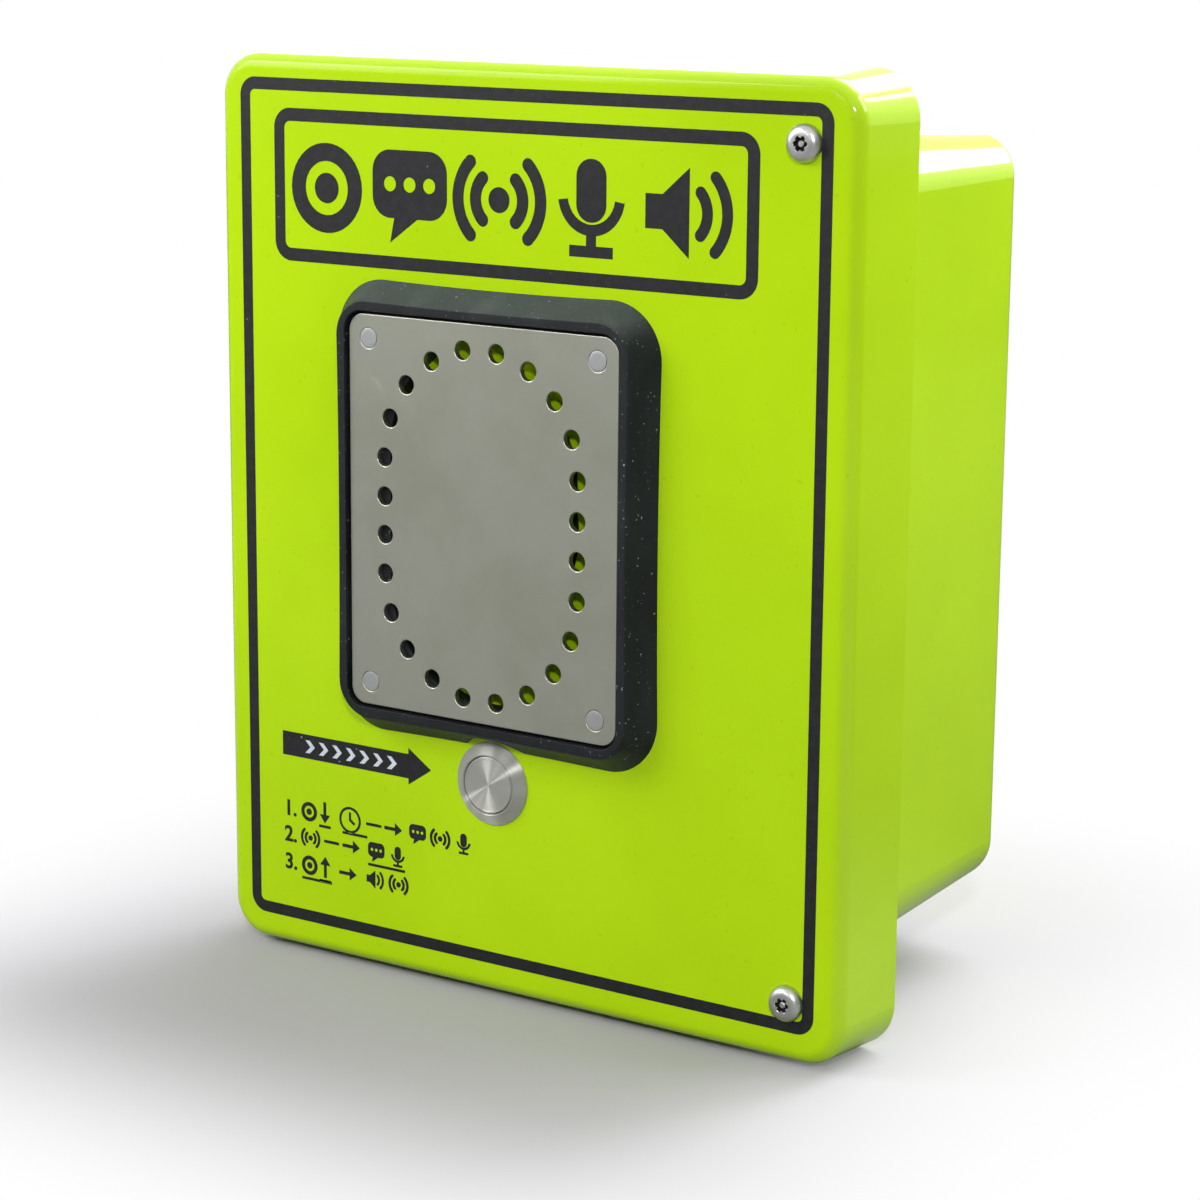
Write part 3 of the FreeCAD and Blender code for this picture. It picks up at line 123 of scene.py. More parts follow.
def toned(shade, factor, lift=0.0):
    # The same colour, darker or paler
    return (*(min(value * factor + lift, 1.0) for value in shade[:3]), 1.0)


class Network:
    # A shader's nodes, made and linked by the calls below
    def __init__(self, tree):
        self.tree = tree

    def feed(self, socket, value):
        if isinstance(value, Field):
            self.tree.links.new(value.socket, socket)
        else:
            socket.default_value = value

    def add(self, kind, settings, sockets, output=0):
        node = self.tree.nodes.new("ShaderNode" + kind)
        for setting, value in settings.items():
            setattr(node, setting, value)
        for socket, value in sockets.items():
            self.feed(node.inputs[socket], value)
        return Field(self, node.outputs[output])

    def maths(self, operation, *values):
        return self.add("Math", {"operation": operation}, dict(enumerate(values)))

    def vectors(self, operation, *values):
        return self.add("VectorMath", {"operation": operation}, dict(enumerate(values)))

    def place(self, stretch=(1, 1, 1), shift=(0, 0, 0)):
        spot = self.add("TexCoord", {}, {}, "Object")
        return self.vectors("ADD", self.vectors("MULTIPLY", spot, stretch), shift)

    def noise(self, scale, detail=2.0, roughness=0.5, stretch=(1, 1, 1), shift=(0, 0, 0)):
        return self.add("TexNoise", {}, {"Vector": self.place(stretch, shift), "Scale": scale,
                                         "Detail": detail, "Roughness": roughness}, "Fac")

    def cells(self, scale, stretch):
        # One colour for each cell
        return self.add("TexVoronoi", {}, {"Vector": self.place(stretch), "Scale": scale}, "Color")

    def rise(self, value, low, high):
        # 0 below low and 1 above high, with a smooth slope between them
        return self.add("MapRange", {"interpolation_type": "SMOOTHSTEP"},
                        {"Value": value, "From Min": low, "From Max": high})

    def part(self, vector, axis):
        return self.add("SeparateXYZ", {}, {0: vector}, axis)

    def mix(self, share, first, second):
        return self.add("Mix", {"data_type": "RGBA"}, {0: share, 6: first, 7: second}, 2)


class Finish(Network):
    # A material with its slot; the fixed values are set on the shader's sockets
    def __init__(self, name, slot, **fixed):
        self.material = bpy.data.materials.new(name)
        self.material.use_nodes = True
        super().__init__(self.material.node_tree)
        self.slot = slot
        self.shader = self.tree.nodes["Principled BSDF"]
        for socket, value in fixed.items():
            self.set(socket.replace("_", " "), value)

    def set(self, socket, value):
        self.feed(self.shader.inputs[socket], value)

    def bump(self, height, distance, strength):
        self.set("Normal", self.add("Bump", {}, {"Height": height, "Distance": distance,
                                                 "Strength": strength}))


def dusted(finish, base, dust):
    # Fine pale specks: only the peaks of a fine noise show
    amount = dust["amount"]
    specks = finish.rise(finish.noise(dust["scale"], detail=1.0), 1 - amount, 1 - amount * 0.6)
    return finish.mix(specks, base, dust["colour"]), specks


# Finishes

gelcoat = {
    "colour": colour(176, 216, 12), "deep": colour(168, 208, 8), "pale": colour(182, 222, 18),
    "speck": colour(120, 156, 10), "roughness": 0.27, "peel": 0.02 * mm,
    "sideGloss": 0.85, "frontGloss": 0.14,
}


def makeShellFinish():
    finish = Finish("limeShell", "lime_shell", Coat_Roughness=0.08, Specular_IOR_Level=0.07)
    # The moulded sides shine, and the printed front is duller
    front = finish.part(finish.add("TexCoord", {}, {}, "Normal"), "Y")
    duller = finish.rise(front * front, 0.7, 0.95) * (gelcoat["sideGloss"] - gelcoat["frontGloss"])
    finish.set("Coat Weight", gelcoat["sideGloss"] - duller)
    drift = finish.noise(14, detail=3.0, roughness=0.55)
    base = finish.mix(finish.rise(drift, 0.3, 0.7), gelcoat["deep"], gelcoat["pale"])
    base = finish.mix(0.45, base, gelcoat["colour"])
    grain = finish.noise(900, detail=2.0)
    base = finish.mix(finish.rise(grain, 0.62, 0.8) * 0.08, base, gelcoat["speck"])
    pits = finish.rise(finish.noise(620, detail=0.0, shift=(3, 1, 2)), 0.8, 0.86)
    finish.set("Base Color", finish.mix(pits * 0.16, base, gelcoat["speck"]))
    scratch = finish.rise(finish.noise(60, detail=4.0, roughness=0.7, stretch=(1, 1, 14)), 0.66, 0.74)
    finish.set("Roughness", gelcoat["roughness"] + finish.noise(40, detail=3.0) * 0.08 + scratch * 0.1)
    finish.bump(finish.noise(320, detail=2.0) + grain * 0.2, gelcoat["peel"], 0.5)
    return finish


inkDust = {"colour": colour(150, 156, 120), "scale": 700, "amount": 0.24}


def makeInkFinish(name, shade, worn):
    finish = Finish(name, "black_plastic", Specular_IOR_Level=0.34)
    mottle = finish.noise(420, detail=4.0, roughness=0.65)
    base = finish.mix(finish.rise(mottle, 0.35, 0.75), shade, worn)
    specked = dusted(finish, base, inkDust)[0]
    finish.set("Base Color", specked)
    finish.set("Roughness", 0.42 + finish.noise(90, detail=3.0) * 0.16)
    finish.bump(mottle, 0.02 * mm, 0.5)
    return finish


rubberTones = {"black": colour(11, 15, 20), "grey": colour(20, 25, 30), "film": colour(112, 122, 120)}
rubberDust = {"colour": colour(150, 158, 160), "scale": 1400, "amount": 0.3}


def makeRubberFinish(name, dustAndLightFilm):
    finish = Finish(name, "black_rubber", Specular_IOR_Level=0.3)
    haze = finish.noise(45, detail=4.0, roughness=0.6)
    base = finish.mix(finish.rise(haze, 0.35, 0.75), rubberTones["black"], rubberTones["grey"])
    base, specks = dusted(finish, base, rubberDust)
    # Up-facing sides get a pale film, partly dust and partly painted light from above, and sides that face
    # down get a weaker one
    upward = finish.part(finish.add("NewGeometry", {}, {}, "Normal"), "Z")
    film = finish.rise(finish.noise(110, detail=5.0, roughness=0.6, stretch=(1, 1, 0.4)), 0.4, 0.8)
    paleFilmOfDustAndLight = finish.rise(upward, 0.3, 0.9) * (0.3 + film * 0.12) + finish.rise(0 - upward, 0.4, 0.95) * 0.16
    film = film * 0.04 + paleFilmOfDustAndLight * dustAndLightFilm
    finish.set("Base Color", finish.mix(film, base, rubberTones["film"]))
    finish.set("Roughness", 0.5 + haze * 0.18 + specks * 0.2)
    finish.bump(finish.noise(1100, detail=3.0) * 0.6 + finish.noise(240, detail=2.0) * 0.4, 0.05 * mm, 0.45)
    return finish


brushed = {"lines": 2600, "wear": 0.06, "dark": 0.86}


def makeBrushedFinish(name, slot, shade, stain, roughness, stretch):
    # Metal sheet with its grain along the axis that has the smallest stretch
    finish = Finish(name, slot, Metallic=1.0)
    cloud = finish.noise(30, detail=4.0, roughness=0.6)
    base = finish.mix(finish.rise(cloud, 0.38, 0.68), shade, stain)
    lines = finish.noise(brushed["lines"], detail=2.0, roughness=0.6, stretch=stretch)
    finish.set("Base Color", finish.mix(lines * 0.35, base, toned(shade, brushed["dark"])))
    marks = finish.rise(finish.noise(90, detail=5.0, roughness=0.75, shift=(5, 2, 7)), 0.6, 0.72)
    finish.set("Roughness", roughness + lines * 0.08 + cloud * 0.06 + marks * brushed["wear"])
    finish.bump(lines * 0.7 + cloud * 0.3, 0.01 * mm, 0.35)
    return finish


latheCut = {"rings": 2400, "groove": 0.008 * mm, "dark": 0.8}


def makeTurnedFinish(name, slot, shade, roughness):
    # Metal cut on a lathe: fine rings round the piece's own axis
    finish = Finish(name, slot, Metallic=0.6, Anisotropic=1.0, Anisotropic_Rotation=0.25)
    spot = finish.add("TexCoord", {}, {}, "Object")
    across, up = finish.part(spot, "X"), finish.part(spot, "Y")
    radius = (across * across + up * up) ** 0.5
    grooves = finish.add("TexNoise", {"noise_dimensions": "1D"},
                         {"W": radius, "Scale": latheCut["rings"], "Detail": 3.0}, "Fac")
    cloud = finish.noise(120, detail=3.0)
    dark = toned(shade, latheCut["dark"])
    finish.set("Base Color", finish.mix(grooves * 0.45 + cloud * 0.15, shade, dark))
    finish.set("Roughness", roughness + grooves * 0.1 + cloud * 0.05)
    finish.bump(grooves, latheCut["groove"], 0.3)
    return finish


def makePolishedFinish(name, slot, shade, roughness):
    finish = Finish(name, slot, Metallic=1.0)
    haze = finish.noise(500, detail=4.0, roughness=0.65)
    scuffs = finish.rise(finish.noise(1500, detail=2.0, roughness=0.6, stretch=(1, 1, 5)), 0.62, 0.72)
    finish.set("Base Color", finish.mix(haze * 0.3 + scuffs * 0.2, shade, toned(shade, 0.72)))
    finish.set("Roughness", roughness + haze * 0.12 + scuffs * 0.12)
    finish.bump(haze, 0.02 * mm, 0.2)
    return finish


def makeMouldedFinish(name, slot, shade, roughness=0.42, grain=900, shift=0.12):
    finish = Finish(name, slot, Specular_IOR_Level=0.45)
    fine = finish.noise(grain, detail=3.0, roughness=0.6)
    broad = finish.noise(50, detail=3.0)
    base = finish.mix(finish.rise(broad, 0.35, 0.7), toned(shade, 0.8), toned(shade, 1.25, 0.01))
    finish.set("Base Color", finish.mix(1 - shift * 4 * fine, base, shade))
    finish.set("Roughness", roughness + fine * shift + broad * 0.06)
    finish.bump(fine, 0.03 * mm, 0.4)
    return finish


boardTones = {"mask": colour(14, 74, 40), "track": colour(34, 112, 58), "cloud": colour(10, 60, 34)}
boardTracks = {"regions": 170, "perMetre": 1000, "pitch": 0.62}


def makeBoardFinish():
    finish = Finish("solderMask", "circuit_board", Coat_Weight=0.35, Coat_Roughness=0.15)
    # Copper tracks show through the mask as paler bands with square turns
    spot = finish.place()
    across, up = finish.part(spot, "X"), finish.part(spot, "Z")
    steps = finish.cells(boardTracks["regions"], stretch=(1, 0, 1))
    lane = finish.part(steps, "X")
    level = finish.maths("GREATER_THAN", lane, 0.5)
    way = across * level + up * (1 - level)
    lines = finish.maths("PINGPONG", way * boardTracks["perMetre"], boardTracks["pitch"])
    tracks = finish.rise(lines, 0.3, 0.36) * finish.rise(finish.part(steps, "Y"), 0.35, 0.4)
    base = finish.mix(tracks, boardTones["mask"], boardTones["track"])
    finish.set("Base Color", finish.mix(finish.noise(80, detail=3.0) * 0.3, base, boardTones["cloud"]))
    finish.set("Roughness", 0.34 + tracks * 0.06 + finish.noise(300, detail=2.0) * 0.08)
    finish.bump(tracks, 0.03 * mm, 0.6)
    return finish


shell = makeShellFinish()
ink = makeInkFinish("printInk", colour(18, 18, 21), colour(30, 31, 35))
whiteInk = makeInkFinish("paleInk", colour(196, 204, 214), colour(214, 220, 226))
rubber = makeRubberFinish("blackRubber", dustAndLightFilm=1.0)
# This rubber has no pale film: neither dust nor painted light from above
rubberWithoutDustOrLightFilm = makeRubberFinish("rubberWithoutDustOrLightFilm", dustAndLightFilm=0.0)
plateSteel = makeBrushedFinish("plateSteel", "stainless", colour(182, 183, 170),
                               colour(170, 171, 157), roughness=0.34, stretch=(1, 1, 0.03))
studSteel = makePolishedFinish("studSteel", "stainless", colour(188, 191, 191), roughness=0.38)
buttonSteel = makeTurnedFinish("buttonSteel", "stainless", colour(192, 192, 185), roughness=0.4)
screwSteel = makePolishedFinish("screwSteel", "polished_steel", colour(200, 200, 198), roughness=0.3)
# A dark material for the screws' recesses: painted shade
recessPaintedShade = makeMouldedFinish("recessPaintedShade", "polished_steel", colour(44, 44, 50), roughness=0.4,
                                grain=1800)
zinc = makePolishedFinish("zincSteel", "zinc_steel", colour(176, 178, 182), roughness=0.3)
sheetAluminium = makeBrushedFinish("sheetAluminium", "aluminium_sheet", colour(196, 198, 200),
                                   colour(182, 184, 188), roughness=0.32, stretch=(0.04, 1, 1))
brass = makePolishedFinish("brassParts", "brass", colour(214, 178, 96), roughness=0.26)
blackPlastic = makeMouldedFinish("blackPlastic", "black_plastic", colour(30, 31, 33))
whitePlastic = makeMouldedFinish("whitePlastic", "white_plastic", colour(226, 224, 214))
board = makeBoardFinish()
ferrite = makeMouldedFinish("ferriteGrey", "ferrite", colour(58, 58, 62), roughness=0.6, grain=1600)
paper = makeMouldedFinish("conePaper", "paper_cone", colour(44, 44, 46), roughness=0.75, grain=2400,
                          shift=0.2)
copper = makePolishedFinish("copperParts", "copper", colour(206, 128, 86), roughness=0.28)
cellWrap = makeMouldedFinish("cellWrap", "cell_wrap", colour(52, 72, 104), roughness=0.3, grain=300,
                             shift=0.05)
jacket = makeMouldedFinish("cableJacket", "cable_jacket", colour(34, 34, 36), roughness=0.45)
redJacket = makeMouldedFinish("redJacket", "cable_jacket", colour(168, 30, 26), roughness=0.4)
greyJacket = makeMouldedFinish("greyJacket", "cable_jacket", colour(168, 170, 172), roughness=0.42)
blueJacket = makeMouldedFinish("blueJacket", "cable_jacket", colour(38, 74, 146), roughness=0.4)
cloth = makeMouldedFinish("spiderCloth", "paper_cone", colour(168, 128, 66), roughness=0.8, grain=3200,
                          shift=0.2)
cream = makeMouldedFinish("creamPlug", "white_plastic", colour(226, 212, 172), roughness=0.4)
tanBoard = makeMouldedFinish("tanCeramic", "white_plastic", colour(170, 138, 92), roughness=0.5, grain=1400)
capacitorSleeve = makeMouldedFinish("capacitorSleeve", "black_plastic", colour(36, 40, 58), roughness=0.3)
print("finishes made")


# Shape helpers

def addPiece(name, mesh, finish, body, matrix=Matrix.Identity(4), sharp=32, stands=()):
    mesh.polygons.foreach_set("use_smooth", [True] * len(mesh.polygons))
    mesh.set_sharp_from_angle(angle=math.radians(sharp))
    mesh.materials.clear()
    mesh.materials.append(finish.material)
    made = bpy.data.objects.new(name, mesh)
    bpy.context.scene.collection.objects.link(made)
    made.matrix_world = matrix
    if body:
        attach(made, body)
    if stands:
        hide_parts(*stands)
    return made


def meshOf(name, vertices, faces):
    mesh = bpy.data.meshes.new(name)
    mesh.from_pydata([tuple(vertex) for vertex in vertices], [], faces)
    work = bmesh.new()
    work.from_mesh(mesh)
    bmesh.ops.remove_doubles(work, verts=work.verts, dist=1e-6)
    bmesh.ops.recalc_face_normals(work, faces=work.faces)
    work.to_mesh(mesh)
    work.free()
    return mesh


def loft(rings, closed=False, caps=False):
    # Faces between rings of equal counts, as vertices and faces
    count = len(rings[0])
    vertices = [point for ring in rings for point in ring]
    faces = []
    spans = len(rings) if closed else len(rings) - 1
    for span in range(spans):
        here, there = span * count, (span + 1) % len(rings) * count
        for step in range(count):
            following = (step + 1) % count
            faces.append((here + step, here + following, there + following, there + step))
    if caps:
        faces.append(tuple(range(count)))
        faces.append(tuple(reversed(range(len(vertices) - count, len(vertices)))))
    return vertices, faces


def ringOf(radius, height, steps=96, shape=None):
    # One ring of a round piece; shape turns an angle into a factor on the radius
    points = []
    for step in range(steps):
        angle = 2 * math.pi * step / steps
        reach = radius * (shape(angle) if shape else 1)
        points.append((reach * math.cos(angle), reach * math.sin(angle), height))
    return points


def turned(name, outline, finish, body, at, steps=96, closed=False, stands=(), sharp=32, turn=faceForward):
    # A piece cut on a lathe: outline holds (radius, height) pairs, height going out of the front
    mesh = meshOf(name, *loft([ringOf(radius, height, steps) for radius, height in outline], closed))
    return addPiece(name, mesh, finish, body, Matrix.Translation(at) @ turn, sharp, stands)


def stepped(reach, pairs, level=0.0, way=1):
    # Points of an outline from (inward, away) pairs in millimetres, counted from a radius and a level
    return [(reach - inward * mm, level + way * away * mm) for inward, away in pairs]


def softRing(inner, outer, thick, soft):
    # The section of a flat ring with chamfered edges
    return [(inner, soft), (inner + soft, 0), (outer - soft, 0), (outer, soft), (outer, thick - soft),
            (outer - soft, thick), (inner + soft, thick), (inner, thick - soft)]


def rounding(start, corner, end, steps=5):
    # Points on a smooth turn from start to end, round corner
    points = []
    for step in range(steps + 1):
        share = step / steps
        points.append(tuple((1 - share) ** 2 * a + 2 * share * (1 - share) * b + share ** 2 * c
                            for a, b, c in zip(start, corner, end)))
    return points


def roundedOutline(width, height, corner, centre=(0, 0), steps=10, sides=1, pull=0):
    # A rectangle with round corners; pull draws the middle of each side inward
    points = []
    for quarter in range(4):
        signX = (1, -1, -1, 1)[quarter]
        signZ = (1, 1, -1, -1)[quarter]
        cornerX = centre[0] + signX * (width / 2 - corner)
        cornerZ = centre[1] + signZ * (height / 2 - corner)
        for step in range(steps + 1):
            angle = math.pi / 2 * (quarter + step / steps)
            points.append((cornerX + corner * math.cos(angle), cornerZ + corner * math.sin(angle)))
        upright = quarter % 2
        nextX = centre[0] + (1, -1, -1, 1)[(quarter + 1) % 4] * (width / 2 - corner * (1 - upright))
        nextZ = centre[1] + (1, 1, -1, -1)[(quarter + 1) % 4] * (height / 2 - corner * upright)
        lastX, lastZ = points[-1]
        for step in range(1, sides):
            share = step / sides
            inward = pull * 4 * share * (1 - share)
            x = lastX + (nextX - lastX) * share - (signX * inward if upright else 0)
            z = lastZ + (nextZ - lastZ) * share - (0 if upright else signZ * inward)
            points.append((x, z))
    return points


def circleOutline(x, z, radius, steps=40):
    turns = [2 * math.pi * step / steps for step in range(steps)]
    return [(x + radius * math.cos(turn), z + radius * math.sin(turn)) for turn in turns]


def arcBand(x, z, radius, stroke, start, end, steps=24):
    # A band along an arc, with round ends, as one closed outline
    points = []
    for side, first, last in ((1, start, end), (-1, end, start)):
        reach = radius + side * stroke / 2
        for step in range(steps + 1):
            angle = math.radians(first + (last - first) * step / steps)
            points.append((x + reach * math.cos(angle), z + reach * math.sin(angle)))
        tip = math.radians(last)
        for step in range(1, 8):
            swing = tip + math.pi * step / 8 + (0 if side > 0 else math.pi)
            points.append((x + radius * math.cos(tip) + stroke / 2 * math.cos(swing),
                           z + radius * math.sin(tip) + stroke / 2 * math.sin(swing)))
    return points


def barOutline(x, z, width, height, corner):
    return roundedOutline(width, height, corner, (x, z), steps=5)


def meshFrom(name, curve):
    # The mesh that a curve or a text stands for
    maker = bpy.data.objects.new(name, curve)
    bpy.context.scene.collection.objects.link(maker)
    bpy.context.view_layer.update()
    mesh = bpy.data.meshes.new_from_object(maker)
    bpy.data.objects.remove(maker)
    return mesh


def flatMesh(name, outlines, thickness, bevel=0.0, fineness=2):
    # Filled outlines, with those inside others as holes, made as thick as asked
    curve = bpy.data.curves.new(name, "CURVE")
    curve.dimensions = "2D"
    curve.fill_mode = "BOTH"
    curve.extrude = thickness / 2 - bevel
    curve.bevel_depth = bevel
    curve.bevel_resolution = fineness
    curve.offset = -bevel
    for outline in outlines:
        spline = curve.splines.new("POLY")
        spline.points.add(len(outline) - 1)
        for point, (x, z) in zip(spline.points, outline):
            point.co = (x, z, 0, 1)
        spline.use_cyclic_u = True
    return meshFrom(name, curve)


# Print on the cover, as thin films of ink: places and sizes are in millimetres, apart from those with mm

printing = {
    "middle": (0.0, 1.0), "film": 0.08 * mm, "sunk": 0.02 * mm, "overInk": 0.03 * mm,
    "border": (177.8, 225.5, 4.8), "borderStroke": 3.2,
    "heading": (146.9, 39.3, 5.2), "headingMiddle": (-4.25, 86.55), "headingStroke": 3.35,
    "signs": {"button": -60.5, "speech": -33.8, "wave": -6.0, "microphone": 21.6, "speaker": 48.8},
    "signMiddle": 86.3, "rowScale": 0.235, "rowLift": 2.0,
    "numberLeft": -77.2, "numberHeight": 4.4, "numberBody": 1.38, "numberWeight": 0.16 * mm,
    "underline": 0.75, "underlineDrop": 1.75, "underlineCorner": 0.1,
}
# Each row: its baseline, its signs with their places, and the stretch that is underlined
rows = (
    (-82.9, (("button", -68.6), ("press", -63.2), ("hold", -54.6), ("dash", -46.6), ("arrow", -40.2),
             ("speech", -32.0), ("wave", -24.6), ("microphone", -17.0)), (-57.2, 8.4)),
    (-90.2, (("wave", -68.2), ("dash", -61.0), ("arrow", -54.4), ("speech", -45.8), ("microphone", -38.6)),
     (-48.6, 12.4)),
    (-97.9, (("button", -68.6), ("lift", -63.2), ("arrow", -55.6), ("speaker", -46.4), ("wave", -38.4)),
     (-71.2, 10.2)),
)


def printFilm(name, outlines, finish=ink, lift=0.0):
    film = printing["film"]
    scaled = [[(x * mm, z * mm) for x, z in outline] for outline in outlines]
    at = Vector((0, -cover["front"] - film / 2 + printing["sunk"] - lift, 0))
    addPiece(name, flatMesh(name, scaled, film), finish, "cover", Matrix.Translation(at) @ faceForward)


def printFrames():
    for name, kind, middle in (("printBorder", "border", "middle"),
                               ("printHeadingFrame", "heading", "headingMiddle")):
        width, height, corner = printing[kind]
        spot, stroke = printing[middle], printing[kind + "Stroke"]
        printFilm(name, [roundedOutline(width, height, corner, spot),
                         roundedOutline(width - 2 * stroke, height - 2 * stroke, corner - stroke, spot)])


# Plain signs about their own middle, in millimetres, about 24 high; no two outlines of one sign overlap

def buttonSign():
    return [circleOutline(0, 0, 11.5), circleOutline(0, 0, 6.9), circleOutline(0, 0, 3.9)]


def speechSign():
    steps = 10
    body = roundedOutline(23.5, 17.2, 5.5, (0, 2.2), steps=steps)
    lowerLeft = 3 * (steps + 1)
    body = body[:lowerLeft] + [(-4.9, -6.4), (-6.2, -12.6), (2.4, -6.4)] + body[lowerLeft:]
    return [body] + [circleOutline(6.2 * step, 2.2, 1.9) for step in (-1, 0, 1)]


def waveSign():
    return [circleOutline(0, 0, 3.2)] + [arcBand(0, 0, radius, 3.4, side - 46, side + 46)
                                         for radius in (7.2, 12.6) for side in (0, 180)]


def microphoneSign():
    # The cradle's arc and its stand are one outline, so that nothing overlaps
    outer, inner, middle, tip = 9.8, 7.0, 2.6, -8
    stem, foot, top, bottom = 1.45, 6.4, -9.6, -12.4
    neck = -math.degrees(math.acos(stem / outer))

    def arc(radius, first, last, steps=16):
        angles = [math.radians(first + (last - first) * step / steps) for step in range(steps + 1)]
        return [(radius * math.cos(angle), middle + radius * math.sin(angle)) for angle in angles]

    stand = [(stem, top), (foot, top), (foot, bottom), (-foot, bottom), (-foot, top), (-stem, top)]
    cradle = arc(outer, tip, neck) + stand + arc(outer, -180 - neck, -180 - tip)
    cradle += arc(inner, -180 - tip, tip)
    return [roundedOutline(8.8, 15.4, 4.3, (0, 3.8)), cradle]


def speakerSign():
    horn = [(-11.5, 4.2), (-6.6, 4.2), (1.0, 10.8), (1.0, -10.8), (-6.6, -4.2), (-11.5, -4.2)]
    return [horn] + [arcBand(-1.5, 0, radius, 3.0, -42, 42) for radius in (7.6, 13.2)]


def arrowSign():
    return [[(-12, 2), (3, 2), (3, 7.5), (13, 0), (3, -7.5), (3, -2), (-12, -2)]]


def pressSign():
    # Downward onto a line
    return [[(z, 3 - x) for x, z in arrowSign()[0]], barOutline(0, -14, 17, 3.2, 0.5)]


def liftSign():
    # Upward away from a line
    return [[(z, x + 1) for x, z in arrowSign()[0]], barOutline(0, -15, 17, 3.2, 0.5)]


def dashSign():
    return [barOutline(0, 0, 22, 3.4, 1.2)]


def holdSign():
    # A dial with two hands, for waiting
    hands = [(-1.5, 9), (1.5, 9), (1.5, 1.2), (7.5, -3.2), (5.6, -5.8), (-1.5, -0.8)]
    return [circleOutline(0, 0, 15.5), circleOutline(0, 0, 12.5), hands]


signs = {"button": buttonSign, "speech": speechSign, "wave": waveSign, "microphone": microphoneSign,
         "speaker": speakerSign, "arrow": arrowSign, "press": pressSign, "lift": liftSign, "dash": dashSign,
         "hold": holdSign}


def placed(sign, x, z, scale=1.0):
    return [[(x + px * scale, z + pz * scale) for px, pz in outline] for outline in signs[sign]()]


def printHeading():
    for sign, x in printing["signs"].items():
        printFilm(f"print{sign.capitalize()}Sign", placed(sign, x, printing["signMiddle"]))


arrow = {"tail": -77.4, "neck": -34.9, "tip": -27.5, "middle": -62.9, "half": 3.3, "headHalf": 4.95,
         "chevrons": 7, "first": -69.6, "pitch": 4.6, "chevron": 1.75, "stroke": 1.5}


def printArrow():
    z = arrow["middle"]
    printFilm("printArrow", [[(arrow["tail"], z + arrow["half"]), (arrow["neck"], z + arrow["half"]),
                              (arrow["neck"], z + arrow["headHalf"]), (arrow["tip"], z),
                              (arrow["neck"], z - arrow["headHalf"]), (arrow["neck"], z - arrow["half"]),
                              (arrow["tail"], z - arrow["half"])]])
    marks = []
    high, stroke = arrow["chevron"], arrow["stroke"]
    for number in range(arrow["chevrons"]):
        x = arrow["first"] + number * arrow["pitch"]
        marks.append([(x, z + high), (x + stroke, z + high), (x + stroke + high, z), (x + stroke, z - high),
                      (x, z - high), (x + high, z)])
    printFilm("printArrowMarks", marks, whiteInk, printing["overInk"])


def printNumber(name, text, x, z):
    face = bpy.data.curves.new(name, "FONT")
    face.body = text
    face.size = printing["numberHeight"] * printing["numberBody"] * mm
    face.offset = printing["numberWeight"]
    face.extrude = printing["film"] / 2
    at = Vector((x * mm, -cover["front"] - printing["film"] / 2 + printing["sunk"], z * mm))
    addPiece(name, meshFrom(name, face), ink, "cover", Matrix.Translation(at) @ faceForward)


def printRows():
    for number, (base, marks, under) in enumerate(rows, 1):
        printNumber(f"printNumber{number}", f"{number}.", printing["numberLeft"], base)
        left, long = under
        outlines = [barOutline(left + long / 2, base - printing["underlineDrop"], long,
                               printing["underline"], printing["underlineCorner"])]
        for sign, x in marks:
            outlines += placed(sign, x, base + printing["rowLift"], printing["rowScale"])
        printFilm(f"printRow{number}", outlines)


printFrames()
printHeading()
printArrow()
printRows()
print("print made")


# Rubber bezel round the speaker's plate

bezel = {
    "plateGap": 0.8 * mm, "band": 2.65 * mm, "height": 7.3 * mm, "corner": 9.4 * mm,
    "openingCorner": 5.3 * mm, "baseSize": (99.5 * mm, 118.3 * mm), "baseCorner": 14.5 * mm,
    "drawn": 0.5 * mm, "hollow": 0.05,
    "edge": 0.35 * mm, "lip": 0.12 * mm, "seat": 0.02 * mm,
    "ledge": (66.3 * mm, 94.0 * mm), "ledgeCorner": 30 * mm, "ledgeShift": 3.35 * mm,
    "notch": 13.1 * mm, "notchShift": 0.9 * mm, "notchReach": (-2 * mm, 7.6 * mm),
}


